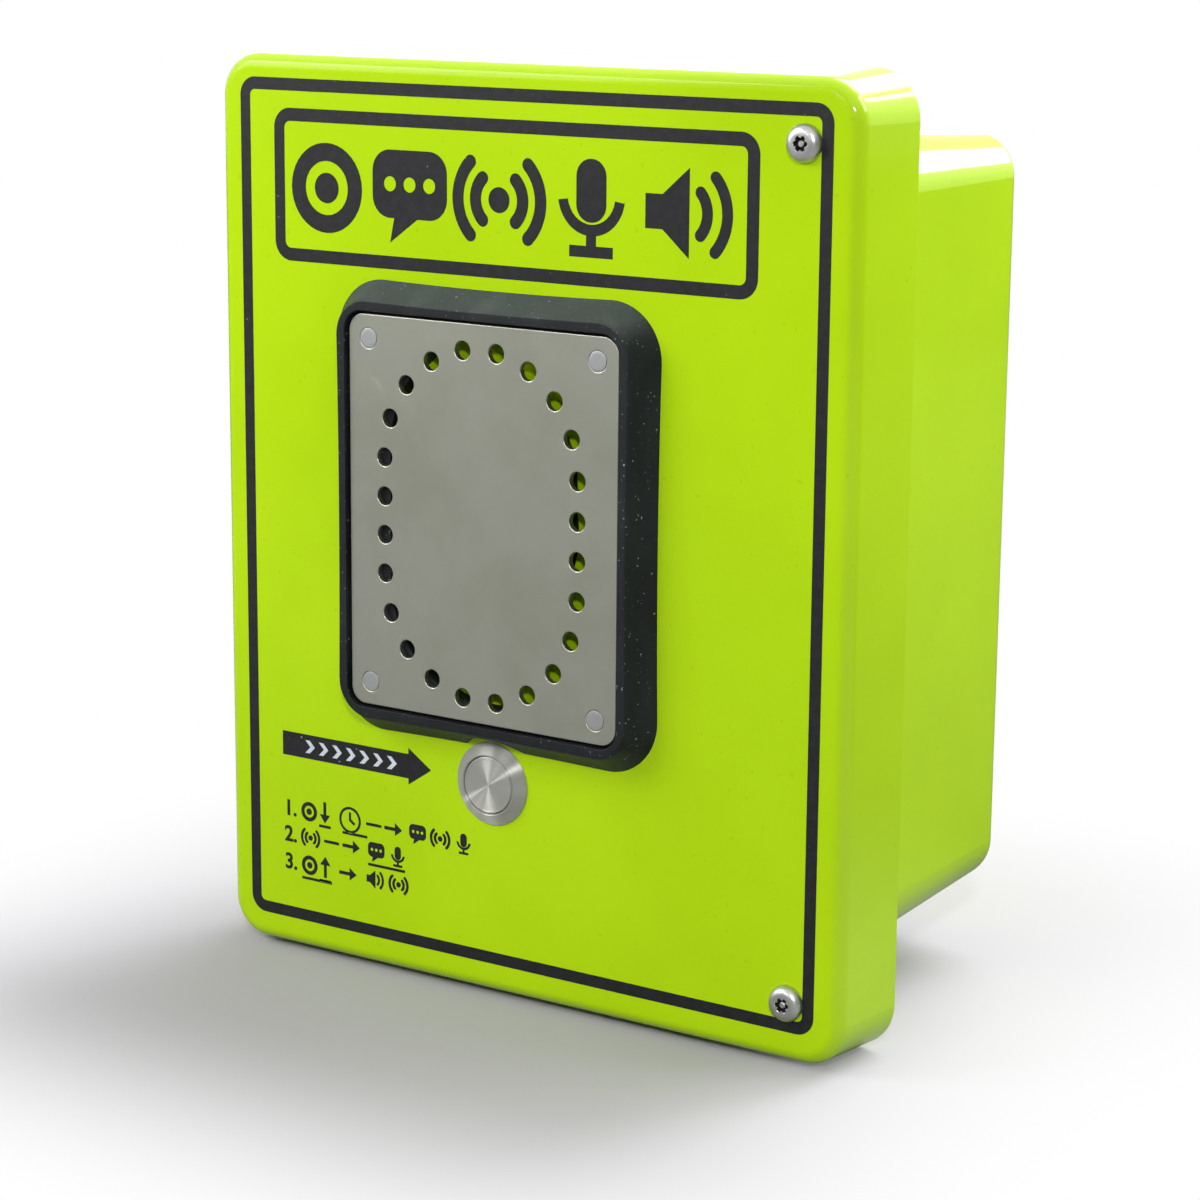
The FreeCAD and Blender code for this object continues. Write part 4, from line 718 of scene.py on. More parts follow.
def makeBezel():
    low, high = plate["low"], plate["high"]
    width, height = high.x - low.x, high.z - low.z
    face = cover["front"]
    front = face + bezel["height"]
    centre = (plate["middle"].x, plate["middle"].z)
    gap, band, drawn = bezel["plateGap"], bezel["band"], bezel["drawn"]
    outerWidth, outerHeight = width + 2 * (gap + band), height + 2 * (gap + band)

    def ring(sizeX, sizeZ, corner, spot, depth, pull):
        outline = roundedOutline(sizeX, sizeZ, corner, spot, steps=14, sides=26, pull=pull)
        return [(x, -depth, z) for x, z in outline]

    def flare(share):
        # The sloped wall between the base, at 0, and the front edge, at 1, a little hollow
        bow = share + bezel["hollow"] * math.sin(math.pi * share)
        return [a + (b - a) * bow for a, b in zip((*bezel["baseSize"], bezel["baseCorner"]),
                                                  (outerWidth, outerHeight, bezel["corner"]))]

    ledge = (*bezel["ledge"], bezel["ledgeCorner"], (centre[0] + bezel["ledgeShift"], centre[1]))
    rings = [ring(*ledge, face, 0)]
    for share in (0.0, 0.04, 0.2, 0.4, 0.6, 0.8, 0.9):
        rings.append(ring(*flare(share), centre, face + share * bezel["height"], drawn * (1 - 0.3 * share)))
    edge = bezel["edge"]
    for turn in (25, 50, 75, 90):
        inset = edge * (1 - math.cos(math.radians(turn)))
        rings.append(ring(outerWidth - 2 * inset, outerHeight - 2 * inset, bezel["corner"] - inset, centre,
                          front - edge + edge * math.sin(math.radians(turn)), drawn * 0.7))
    lip, floor = bezel["lip"], plate["back"] + bezel["seat"]
    for inset, depth in ((lip, front), (0, front - lip), (0, floor)):
        rings.append(ring(width + 2 * (gap + inset), height + 2 * (gap + inset),
                          bezel["openingCorner"] + inset, centre, depth, drawn * 0.2 if inset else 0))
    rings.append(ring(*ledge, floor, 0))
    made = addPiece("speakerBezel", meshOf("speakerBezel", *loft(rings, closed=True)), rubber, None)
    cutNotch(made)
    # The walls of the opening get no pale film, neither dust nor painted light from above
    made.data.materials.append(rubberWithoutDustOrLightFilm.material)
    reachX, reachZ = width / 2 + gap + lip * 0.5, height / 2 + gap + lip * 0.5
    for side in made.data.polygons:
        if abs(side.center.x - centre[0]) < reachX and abs(side.center.z - centre[1]) < reachZ:
            side.material_index = 1
    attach(made, "cover")
    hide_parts("speaker_bezel")


def cutNotch(made):
    # The round bite below, where the button's collar stands
    cutter = bpy.data.objects.new("notchCutter", meshOf("notchCutter", *loft(
        [ringOf(bezel["notch"], reach) for reach in bezel["notchReach"]], caps=True)))
    bpy.context.scene.collection.objects.link(cutter)
    notchAt = (plunger["middle"].x + bezel["notchShift"], -cover["front"], plunger["middle"].z)
    cutter.matrix_world = Matrix.Translation(notchAt) @ faceForward
    cut = made.modifiers.new("notch", "BOOLEAN")
    cut.operation, cut.object, cut.solver = "DIFFERENCE", cutter, "EXACT"
    bpy.context.view_layer.update()
    graph = bpy.context.evaluated_depsgraph_get()
    made.data = bpy.data.meshes.new_from_object(made.evaluated_get(graph))
    made.modifiers.clear()
    bpy.data.objects.remove(cutter)
    made.data.polygons.foreach_set("use_smooth", [True] * len(made.data.polygons))
    made.data.set_sharp_from_angle(angle=math.radians(38))


# Black screen stuck over the speaker's opening, a guessed dust screen that also paints the opening's shade:
# two discs in one, each (x, z, radius)

screen = {"discs": ((-9 * mm, 17 * mm, 27.3 * mm), (-7.2 * mm, 4.95 * mm, 26 * mm)), "thick": 0.3 * mm,
          "bevel": 0.08 * mm, "glue": 0.02 * mm, "heart": (-8 * mm, 10 * mm), "steps": 144}


def makeScreen():
    outline = []
    for step in range(screen["steps"]):
        turn = 2 * math.pi * step / screen["steps"]
        way = (math.cos(turn), math.sin(turn))
        reach = 0
        for x, z, radius in screen["discs"]:
            offX, offZ = x - screen["heart"][0], z - screen["heart"][1]
            along = offX * way[0] + offZ * way[1]
            reach = max(reach, along + math.sqrt(radius ** 2 - offX ** 2 - offZ ** 2 + along ** 2))
        outline.append((screen["heart"][0] + reach * way[0], screen["heart"][1] + reach * way[1]))
    mesh = flatMesh("dustAndShadeScreen", [outline], screen["thick"], screen["bevel"])
    lift = cover["front"] + screen["thick"] / 2 + screen["glue"]
    addPiece("dustAndShadeScreen", mesh, rubberWithoutDustOrLightFilm, "cover", Matrix.Translation((0, -lift, 0)) @ faceForward)


makeBezel()
makeScreen()
print("bezel and dust screen made")


# Grille plate and its studs

grille = {
    "corner": 4.5 * mm, "bevel": 0.26 * mm, "hole": 2.39 * mm, "ring": 29.85 * mm, "offset": 15.1 * mm,
    "shift": (-0.35 * mm, -0.4 * mm), "side": 5 * mm, "perHalf": 10,
}
stud = {
    "apart": (70.4 * mm, 89.7 * mm), "head": 2.6 * mm, "edge": 0.16 * mm, "gap": 0.05 * mm,
    "shank": 2.0 * mm, "pitch": 0.7 * mm, "thread": 0.28 * mm, "crest": 0.1 * mm,
}


def studPlaces():
    across, up = stud["apart"]
    x, z = plate["middle"].x, plate["middle"].z
    return [(x + i * across / 2, z + k * up / 2) for i in (-1, 1) for k in (-1, 1)]


def makeGrille():
    low, high, spot = plate["low"], plate["high"], plate["middle"]
    outlines = [roundedOutline(high.x - low.x, high.z - low.z, grille["corner"], (spot.x, spot.z),
                               steps=12)]
    middleX, middleZ = spot.x + grille["shift"][0], spot.z + grille["shift"][1]
    ring, hole, perHalf = grille["ring"], grille["hole"], grille["perHalf"]
    for side in (1, -1):
        for number in range(perHalf):
            turn = math.pi * number / (perHalf - 1)
            up = grille["offset"] + ring * math.sin(turn)
            outlines.append(circleOutline(middleX + ring * math.cos(turn), middleZ + side * up, hole))
        for across in (1, -1):
            outlines.append(circleOutline(middleX + across * ring, middleZ + side * grille["side"], hole))
    outlines += [circleOutline(x, z, stud["head"] + stud["gap"]) for x, z in studPlaces()]
    mesh = flatMesh("grillePlate", outlines, plate["thick"], grille["bevel"], 3)
    addPiece("grillePlate", mesh, plateSteel, "cover",
             Matrix.Translation((0, -plate["front"] + plate["thick"] / 2, 0)) @ faceForward, 40,
             ["grille_plate"])


def makeStuds():
    head, edge, shank, pitch = stud["head"], stud["edge"], stud["shank"], stud["pitch"]
    length, thickness = fromNode("grille_studs")["thick"], plate["thick"]
    outline = [(0, 0), (head * 0.6, 0)] + rounding((head - edge, 0), (head, 0), (head, -edge), 3)
    outline += [(head, -thickness), (shank, -thickness)]
    for turn in range(int((length - thickness) / pitch) - 1):
        deep = -thickness - turn * pitch
        outline += [(shank, deep - stud["crest"]), (shank - stud["thread"], deep - pitch / 2)]
    outline += [(shank * 0.7, -length), (0, -length)]
    for number, (x, z) in enumerate(studPlaces()):
        turned(f"grilleStud{number}", outline, studSteel, "cover", (x, -plate["front"], z), 48,
               stands=["grille_studs"])


makeGrille()
makeStuds()
print("grille made")


# Push button: the collar, and the plunger that moves in it

collar = {
    "radius": 11 * mm, "rim": 0.45 * mm, "rimEdge": 0.35 * mm, "foot": 0.1 * mm, "height": 2.2 * mm,
    "lip": 0.5 * mm, "lipEdge": 0.25 * mm, "lipRise": 0.1 * mm, "well": 7.75 * mm, "wellDepth": 11.3 * mm,
    "wellEdge": 0.3 * mm, "barrel": 9.5 * mm, "barrelLength": 19 * mm, "pitch": 1.0 * mm,
    "thread": 0.35 * mm, "threadFrom": 4 * mm, "chamfer": 1 * mm,
}
button = {"gap": 0.25 * mm, "edge": 0.75 * mm, "dish": 0.22 * mm, "rimRise": 0.06 * mm,
          "drop": 0.5 * mm, "chamfer": 0.4 * mm}


def makeCollar(x, z):
    radius, rim, edge, foot = collar["radius"], collar["rim"], collar["rimEdge"], collar["foot"]
    high, well, lip, rise = collar["height"], collar["well"], collar["lip"], collar["lipRise"]
    barrel, length, deepest = collar["barrel"], collar["barrelLength"], collar["wellDepth"]
    outline = [(barrel, 0), (radius - 0.3 * mm, 0)]
    outline += rounding((radius, foot), (radius, rim), (radius - edge, rim + 0.12 * mm))
    outline += [(well + lip + collar["lipEdge"], high - 2 * rise)]
    outline += rounding((well + lip, high - rise), (well + lip * 0.6, high + rise),
                        (well + collar["lipEdge"], high))
    outline += rounding((well + 0.12 * mm, high - 0.02 * mm), (well, high - 0.05 * mm),
                        (well, high - collar["wellEdge"]))
    outline += [(well, high - 2 * mm), (well, -deepest), (0, -deepest), (0, -length),
                (barrel - collar["chamfer"], -length)]
    pitch, start = collar["pitch"], collar["threadFrom"]
    for turn in range(int((length - start - pitch) / pitch), 0, -1):
        deep = -start - turn * pitch
        outline += [(barrel - collar["thread"], deep), (barrel, deep + pitch / 2)]
    turned("buttonCollar", outline, buttonSteel, "cover", (x, -cover["front"], z), 128, closed=True,
           stands=["button_housing"], sharp=24)


def makePlunger(x, z):
    # A slightly dished face with a raised rim
    radius, length = collar["well"] - button["gap"], plunger["thick"]
    flat, dish = radius - button["edge"], button["dish"]
    rise, chamfer = button["rimRise"], button["chamfer"]
    outline = [(0, -dish), (flat * 0.5, -0.19 * mm), (flat, -0.1 * mm)]
    outline += rounding((flat + 0.15 * mm, -0.02 * mm), (radius - 0.2 * mm, rise),
                        (radius - 0.12 * mm, -0.2 * mm))
    outline += rounding((radius - 0.05 * mm, -0.3 * mm), (radius, -0.35 * mm), (radius, -button["drop"]))
    outline += [(radius, -length + chamfer), (radius - chamfer, -length), (0, -length)]
    turned("buttonPlunger", outline, buttonSteel, "plunger", (x, -plunger["front"], z), 128,
           stands=["button_plunger"], sharp=24)


makeCollar(plunger["middle"].x, plunger["middle"].z)
makePlunger(plunger["middle"].x, plunger["middle"].z)
print("button made")


# Tamper-proof cover screws: a domed head on a captive shank, with a pin in a six-lobe recess

coverScrew = {
    "head": 4.65 * mm, "height": 2.6 * mm, "foot": 0.15 * mm, "top": 2.15 * mm, "underEdge": 0.12 * mm,
    "recess": 1.66 * mm, "lobe": 0.27 * mm, "lobeSharpness": 0.05 * mm, "recessEdge": 0.12 * mm,
    "floor": 0.8 * mm, "pin": 0.82 * mm, "pinTop": 2.25 * mm, "pinEdge": 0.2 * mm, "shank": 1.95 * mm,
    "pitch": 0.8 * mm, "thread": 0.3 * mm, "threadEnd": 0.6 * mm, "plain": 9 * mm, "gap": 0.04 * mm,
    "shadeMargin": 0.06 * mm,
}


def makeCoverScrew(name, node, body):
    box, size = fromNode(node), coverScrew
    x, z = box["middle"].x, box["middle"].z
    base = cover["front"] + size["gap"]
    length = base - box["back"]
    head, foot, top, shank, pitch = (size[part] for part in ("head", "foot", "height", "shank", "pitch"))
    recess, edge, pin, floor = (size[part] for part in ("recess", "recessEdge", "pin", "floor"))

    def lobes(angle):
        # A six-lobe socket, as a factor on its mean radius
        wave = size["lobe"] * math.cos(6 * angle) - size["lobeSharpness"] * math.cos(12 * angle)
        return 1 + wave / recess

    rings = [ringOf(0, -length), ringOf(shank * 0.7, -length)]
    for turn in range(int((length - size["plain"]) / pitch)):
        deep = -length + size["threadEnd"] + turn * pitch
        rings += [ringOf(shank, deep), ringOf(shank - size["thread"], deep + pitch / 2)]
    rings += [ringOf(shank, -size["plain"]), ringOf(shank, 0)]
    rings += [ringOf(head - size["underEdge"], 0), ringOf(head, 0.05 * mm), ringOf(head, foot)]
    # The head is a dome from its foot to its flat top
    for step in range(1, 13):
        angle = math.pi / 2 * step / 12
        reach = (head - size["top"]) * math.cos(angle) ** 0.8 if step < 12 else 0
        rings.append(ringOf(size["top"] + reach, foot + (top - foot) * math.sin(angle) ** 1.05))
    rings += [ringOf(recess + edge, top, shape=lobes), ringOf(recess, top - edge, shape=lobes),
              ringOf(recess, floor, shape=lobes)]
    rings += [ringOf(pin, floor), ringOf(pin, size["pinTop"] - size["pinEdge"]),
              ringOf(pin - size["pinEdge"], size["pinTop"]), ringOf(0, size["pinTop"])]
    matrix = Matrix.Translation((x, -base, z)) @ faceForward
    made = addPiece(name, meshOf(name, *loft(rings)), screwSteel, body, matrix, 34, [node])
    # The recess walls and floor take a dark material, painted shade; the pin's top keeps the steel
    made.data.materials.append(recessPaintedShade.material)
    shadeMargin = size["shadeMargin"]
    for face in made.data.polygons:
        reach, high = math.hypot(face.center.x, face.center.y), face.center.z
        if pin * 0.99 < reach < recess + size["lobe"] + shadeMargin and 0 < high < top - shadeMargin:
            face.material_index = 1


makeCoverScrew("upperCoverScrew", "upper_screw", "upper_screw")
makeCoverScrew("lowerCoverScrew", "lower_screw", "lower_screw")
print("cover screws made")


# Helpers for the pieces behind the cover

def islands(name):
    # The separate solids of a CAD node, each with its corners and middle
    work = bmesh.new()
    work.from_mesh(nodes[name].data)
    work.transform(nodes[name].matrix_world)
    bmesh.ops.remove_doubles(work, verts=work.verts, dist=1e-6)
    left = set(work.verts)
    found = []
    while left:
        waiting = [left.pop()]
        spots = []
        while waiting:
            vertex = waiting.pop()
            spots.append(vertex.co.copy())
            for edge in vertex.link_edges:
                other = edge.other_vert(vertex)
                if other in left:
                    left.discard(other)
                    waiting.append(other)
        low, high = (Vector([pick(spot[axis] for spot in spots) for axis in range(3)])
                     for pick in (min, max))
        found.append({"low": low, "high": high, "middle": (low + high) / 2})
    work.free()
    return sorted(found, key=lambda spot: (round(spot["middle"].z, 4), round(spot["middle"].x, 4)))


def alongPath(points):
    # The way ahead, the side and the up at each point of a path, without a twist
    frames, side, last = [], None, len(points) - 1
    for number in range(len(points)):
        ahead = (points[min(number + 1, last)] - points[max(number - 1, 0)]).normalized()
        side = side - ahead * side.dot(ahead) if side else ahead.orthogonal()
        side.normalize()
        frames.append((ahead, side, ahead.cross(side)))
    return frames


def tubeMesh(name, points, radius, steps=10):
    turns = [2 * math.pi * step / steps for step in range(steps)]
    rings = []
    for point, (ahead, side, up) in zip(points, alongPath(points)):
        rings.append([point + (side * math.cos(turn) + up * math.sin(turn)) * radius for turn in turns])
    return meshOf(name, *loft(rings, caps=True))


def coil(name, radii, wire, length, turns, finish, body, at, turn=faceForward, stands=(), rest=0.75):
    # A spring from 0 to length; its first and last turns lie flat
    stepsPerTurn, settle = 28, 0.6
    count = int(turns * stepsPerTurn)
    points = []
    for step in range(count + 1):
        share = step / count
        angle = 2 * math.pi * turns * share
        closing = min(max((share * turns - rest) / (turns - 2 * rest), 0), 1)
        low = wire + min(share * turns, rest) * wire * settle
        high = length - wire - min((1 - share) * turns, rest) * wire * settle
        height = low + (high - low) * closing if 0 < closing < 1 else (low if closing <= 0 else high)
        radius = radii[0] + (radii[1] - radii[0]) * share
        points.append(Vector((radius * math.cos(angle), radius * math.sin(angle), height)))
    matrix = Matrix.Translation(at) @ turn
    return addPiece(name, tubeMesh(name, points, wire, 8), finish, body, matrix, 60, stands)


def blocksMesh(name, blocks, bevel):
    # Blocks with rounded edges in one mesh, each from its two corners
    work = bmesh.new()
    for low, high in blocks:
        low, high = Vector(low), Vector(high)
        spread = Matrix.Diagonal((*(high - low), 1))
        bmesh.ops.create_cube(work, size=1, matrix=Matrix.Translation((low + high) / 2) @ spread)
    bmesh.ops.bevel(work, geom=list(work.edges), offset=bevel, segments=2, profile=0.5, affect="EDGES")
    mesh = bpy.data.meshes.new(name)
    work.to_mesh(mesh)
    work.free()
    return mesh


def blocks(name, corners, bevel, finish, body, stands=()):
    # corners holds (x from, x to, depth from, depth to, z from, z to) in millimetres
    pairs = [((x0 * mm, -d1 * mm, z0 * mm), (x1 * mm, -d0 * mm, z1 * mm))
             for x0, x1, d0, d1, z0, z1 in corners]
    return addPiece(name, blocksMesh(name, pairs, bevel * mm), finish, body, sharp=40, stands=stands)


faceBack = Matrix.Rotation(-math.pi / 2, 4, "X")   # local Z points at the wall
upright = Matrix.Identity(4)
hanging = Matrix.Rotation(math.pi, 4, "X")
print("helpers ready")


# Small pan-head screws with a cross recess

smallScrew = {
    "head": 1.8 * mm, "brim": 0.2 * mm, "underEdge": 0.12 * mm, "flat": 0.66, "shank": 1.25 * mm,
    "cross": 0.62, "narrow": 0.3, "deep": 1.0 * mm, "pitch": 0.5 * mm, "thread": 0.16 * mm,
}


def crossShape(angle):
    return smallScrew["narrow"] + (1 - smallScrew["narrow"]) * abs(math.cos(2 * angle)) ** 8


def smallScrewMesh(name, radius, length):
    size, steps = smallScrew, 48
    head, brim, shank, pitch = size["head"], size["brim"], size["shank"], size["pitch"]
    rings = [ringOf(0, -length, steps), ringOf(shank * 0.7, -length, steps)]
    for turn in range(int(length / pitch) - 1, -1, -1):
        deep = -turn * pitch - 0.3 * mm
        rings += [ringOf(shank, deep - 0.1 * mm, steps),
                  ringOf(shank - size["thread"], deep + 0.12 * mm, steps)]
    rings += [ringOf(shank, 0, steps), ringOf(radius - size["underEdge"], 0, steps),
              ringOf(radius, brim, steps)]
    for step in range(1, 7):
        angle = math.pi / 2 * step / 6
        rings.append(ringOf(radius * (size["flat"] + (1 - size["flat"]) * math.cos(angle)),
                            brim + (head - brim) * math.sin(angle), steps))
    reach, floor = radius * size["cross"], head - size["deep"]
    rings += [ringOf(reach, head, steps, crossShape),
              ringOf(reach * 0.94, head - 0.1 * mm, steps, crossShape),
              ringOf(reach * 0.6, floor, steps, crossShape), ringOf(0, floor, steps)]
    return meshOf(name, *loft(rings))


def makeSmallScrews(node, body, toFront):
    words = node.split("_")
    head = smallScrew["head"]
    for number, spot in enumerate(islands(node)):
        name = words[0] + words[1].capitalize() + str(number)
        low, high = spot["low"], spot["high"]
        mesh = smallScrewMesh(name, (high.x - low.x) / 2, high.y - low.y - head)
        at = (spot["middle"].x, low.y + head if toFront else high.y - head, spot["middle"].z)
        matrix = Matrix.Translation(at) @ (faceForward if toFront else faceBack)
        addPiece(name, mesh, zinc, body, matrix, 34, [node])


makeSmallScrews("panel_screws", "enclosure", True)
makeSmallScrews("strap_screws", "enclosure", True)
makeSmallScrews("board_screws", "cover", False)
makeSmallScrews("speaker_screws", "cover", False)
print("small screws made")


# Speaker: its moving cone, its suspension and its motor

speaker = {
    "sheet": 0.6 * mm, "ribs": 7, "rib": 0.16 * mm,
    "capRise": 2.6 * mm, "capOverlap": 1.9 * mm, "capSheet": 0.35 * mm,
    "former": 7.4 * mm, "winding": 4.6 * mm, "woundDeep": 0.2 * mm, "wire": 0.34 * mm, "groove": 0.12 * mm,
    "surround": 22.9 * mm, "surroundSheet": 0.4 * mm, "surroundLift": 0.45 * mm, "roll": 0.75 * mm,
    "web": 0.22 * mm, "webLift": 0.55 * mm, "waves": 4, "wave": 0.3 * mm,
    "chamfer": 0.7 * mm, "bore": 10 * mm, "gap": 8.1 * mm,
    "pole": 7 * mm, "poleEdge": 0.4 * mm, "poleRoot": 0.5 * mm, "vent": 2.4 * mm,
    "ventMouth": (1.4 * mm, 1.6 * mm),
    "gasket": 26.5 * mm, "gasketSoft": 0.4 * mm,
    "tags": (-34.0, 103.1, 3.95), "tagApart": 3, "tagHalf": 1.2,
}
speakerX, speakerZ = fromNode("speaker_cone")["middle"].x, fromNode("speaker_cone")["middle"].z


def speakerPart(name, node, outline, finish, body="cover", steps=96, sharp=32):
    at = (speakerX, -fromNode(node)["back"], speakerZ)
    return turned(name, outline, finish, body, at, steps, closed=True, stands=[node], sharp=sharp)


def reachOf(node):
    return fromNode(node)["high"].x - speakerX


def sheetOutline(low, high, height, thickness, steps=48):
    # The profile of a thin round sheet, from one radius to another, as one closed outline
    front = []
    for step in range(steps + 1):
        share = step / steps
        front.append((low + (high - low) * share, height(share)))
    return front + [(radius, level - thickness) for radius, level in reversed(front)]


def makeCone():
    rise, neck = fromNode("speaker_cone")["thick"], reachOf("dust_cap")

    def ribbed(share):
        swell = math.sin(math.pi * share) * math.sin(2 * math.pi * speaker["ribs"] * share)
        return rise * share + speaker["rib"] * swell

    def domed(share):
        return speaker["capRise"] * math.cos(math.pi / 2 * share) ** 0.8

    outline = sheetOutline(neck, reachOf("speaker_cone"), ribbed, speaker["sheet"], 84)
    outline[0] = (neck, 0.05 * mm)
    speakerPart("speakerCone", "speaker_cone", outline, paper, "cone", 112)
    outline = sheetOutline(0.05 * mm, neck + speaker["capOverlap"], domed, speaker["capSheet"])
    speakerPart("speakerDustCap", "dust_cap", outline, sheetAluminium, "cone")


def makeVoiceCoil():
    former, inner, length = reachOf("voice_coil"), speaker["former"], fromNode("voice_coil")["thick"]
    wound, wire, groove = speaker["winding"], speaker["wire"], speaker["groove"]
    bare = former - speaker["woundDeep"]
    outline = [(inner, 0), (inner, length), (bare, length), (bare, wound)]
    for turn in range(int(wound / wire) - 1, 0, -1):
        outline += [(former, turn * wire + groove), (former - groove, turn * wire - 0.05 * mm)]
    speakerPart("speakerVoiceCoil", "voice_coil", outline, copper, "cone", 72)


def makeSuspension():
    def rolled(share):
        return speaker["surroundLift"] + speaker["roll"] * math.sin(math.pi * share) ** 0.7

    def waved(share):
        return speaker["webLift"] + speaker["wave"] * math.cos(2 * math.pi * speaker["waves"] * share)

    outline = sheetOutline(speaker["surround"], reachOf("speaker_surround"), rolled,
                           speaker["surroundSheet"], 20)
    made = speakerPart("speakerSurround", "speaker_surround", outline, rubber, steps=112)
    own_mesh(made)
    outline = sheetOutline(reachOf("voice_coil") + 0.1 * mm, reachOf("speaker_spider"), waved,
                           speaker["web"], 72)
    made = speakerPart("speakerSpider", "speaker_spider", outline, cloth)
    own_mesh(made)


def makeMotor():
    cut = speaker["chamfer"]
    for name, node, finish, hole in (("speakerMagnet", "speaker_magnet", ferrite, speaker["bore"]),
                                     ("speakerTopPlate", "speaker_top_plate", zinc, speaker["gap"])):
        reach, thick = reachOf(node), fromNode(node)["thick"]
        outline = [(hole, 0), (reach - cut, 0), (reach, cut), (reach, thick - cut), (reach - cut, thick),
                   (hole, thick)]
        speakerPart(name, node, outline, finish, sharp=28)
    yoke = fromNode("speaker_yoke")
    reach, tall = reachOf("speaker_yoke"), yoke["thick"]
    thick = fromNode("speaker_magnet")["back"] - yoke["back"]
    pole, edge, root, vent = speaker["pole"], speaker["poleEdge"], speaker["poleRoot"], speaker["vent"]
    wider, deeper = speaker["ventMouth"]
    outline = [(vent + wider, 0), (reach - cut, 0), (reach, cut), (reach, thick), (pole + root, thick),
               (pole, thick + root), (pole, tall - edge), (pole - edge, tall), (vent, tall), (vent, deeper)]
    speakerPart("speakerYoke", "speaker_yoke", outline, zinc, sharp=28)
    outline = softRing(speaker["gasket"], reachOf("speaker_gasket"), fromNode("speaker_gasket")["thick"],
                       speaker["gasketSoft"])
    speakerPart("speakerGasket", "speaker_gasket", outline, rubber)


def makeSpeakerTags():
    # Tags on the basket's rim, where the lead is soldered
    x, depth, z = speaker["tags"]
    half = speaker["tagHalf"]
    blocks("speakerTagStrip", [(x - 1.5, x + 1.5, depth - 1.6, depth + 1.4, z - 6, z + 6)], 0.25, tanBoard,
           "cover")
    tags = []
    for side in (-speaker["tagApart"], speaker["tagApart"]):
        tags.append((x - 2.4, x - 1.2, depth - 2.2, depth + 0.8, z + side - half, z + side + half))
    blocks("speakerTags", tags, 0.2, brass, "cover")


makeCone()
makeVoiceCoil()
makeSuspension()
makeMotor()
makeSpeakerTags()
print("speaker made")


# Microphone in its rubber boot

# The pairs hold (inward, away) in millimetres, from the outer radius and an end
microphone = {
    "grip": 0.05 * mm, "port": 1.2 * mm, "roof": 1.5 * mm, "hole": 0.6 * mm,
    "ribs": 3, "ribFrom": 0.6 * mm, "ribPitch": 1.7 * mm,
    "rib": ((0.7, 0), (0.1, 0.3), (0.1, 0.8), (0.7, 1.1)), "flange": ((0.7, 1.6), (0, 1.3), (0, 0)),
    "capsuleFoot": ((0.5, 0.15), (0.35, 0), (0.1, 0), (0, 0.15)), "capsuleTop": ((0, 0.3), (0.3, 0)),
}


def makeMicrophone():
    boot, capsule = fromNode("microphone_boot"), fromNode("microphone_capsule")
    x, z = boot["middle"].x, boot["middle"].z
    reach, tall = boot["high"].x - x, boot["thick"]
    radius, thick = capsule["high"].x - x, capsule["thick"]
    hold, seat, port = radius + microphone["grip"], capsule["back"] - boot["back"], microphone["port"]
    outline = [(hold - 0.6 * mm, 0.3 * mm), (hold, 0), (reach - 1.1 * mm, 0)]
    for number in range(microphone["ribs"]):
        level = microphone["ribFrom"] + number * microphone["ribPitch"]
        outline += stepped(reach, microphone["rib"], level)
    outline += stepped(reach, microphone["flange"], tall, -1)
    outline += [(port, tall), (port, tall - 1.4 * mm), (hold, tall - microphone["roof"]), (hold, seat)]
    turned("microphoneBoot", outline, rubber, "cover", (x, -boot["back"], z), 72, closed=True,
           stands=["microphone_boot"])
    hole = microphone["hole"]
    outline = [(0, 0.15 * mm)] + stepped(radius, microphone["capsuleFoot"])
    outline += stepped(radius, microphone["capsuleTop"], thick, -1)
    outline += [(hole + 0.1 * mm, thick), (hole, thick - 0.2 * mm), (0, thick - 0.2 * mm)]
    turned("microphoneCapsule", outline, sheetAluminium, "cover", (x, -capsule["back"], z), 64,
           stands=["microphone_capsule"])


makeMicrophone()
print("microphone made")


# Behind the push button: seal, spring and switch base

switch = {
    "sealBore": 9.55 * mm, "sealSoft": 0.22 * mm, "wire": 0.35 * mm, "turns": 5.5, "travel": 2 * mm,
    "floor": 0.3 * mm, "rim": ((0, 1.6), (0.4, 1.2), (0.4, 0)),
    "foot": ((2.6, 0.3), (2.4, 0), (0.6, 0), (0, 0.6), (0, 2.4), (0.5, 2.7), (0.5, 3.5), (0, 3.8)),
}


def makeSwitch():
    seal, spring, base = fromNode("button_seal"), fromNode("button_spring"), fromNode("button_base")
    x, z = base["middle"].x, base["middle"].z
    outline = softRing(switch["sealBore"], seal["high"].x - x, seal["thick"], switch["sealSoft"])
    turned("buttonSeal", outline, rubber, "cover", (x, -seal["back"], z), 72, closed=True,
           stands=["button_seal"])
    length, wire, travel = spring["thick"], switch["wire"], switch["travel"]
    radius = spring["high"].x - x - wire
    made = coil("buttonSpring", (radius, radius), wire, length, switch["turns"], zinc, "cover",
                (x, -spring["back"], z), stands=["button_spring"])
    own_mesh(made)
    reach, tall = base["high"].x - x, base["thick"]
    outline = [(0, switch["floor"])] + stepped(reach, switch["foot"])
    outline += stepped(reach, switch["rim"], tall, -1) + [(0, tall)]
    turned("buttonBase", outline, blackPlastic, "cover", (x, -base["back"], z), 72, stands=["button_base"],
           sharp=28)


makeSwitch()
print("switch made")


# Cover seal: a rubber frame with a groove that the cover's rib presses into

# Its section holds (inward, away from the box) in millimetres
coverSeal = {
    "corner": 16.0 * mm,
    "section": ((0.3, 0), (0, 0.4), (0, 1.5), (0.35, 1.75), (0.35, 2.0), (0, 2.25), (0, 3.7), (0.3, 4.0),
                (1.2, 4.0), (1.45, 3.85), (2.05, 3.85), (2.3, 4.0), (3.2, 4.0), (3.5, 3.7), (3.5, 2.25),
                (3.15, 2.0), (3.15, 1.75), (3.5, 1.5), (3.5, 0.4), (3.2, 0)),
}


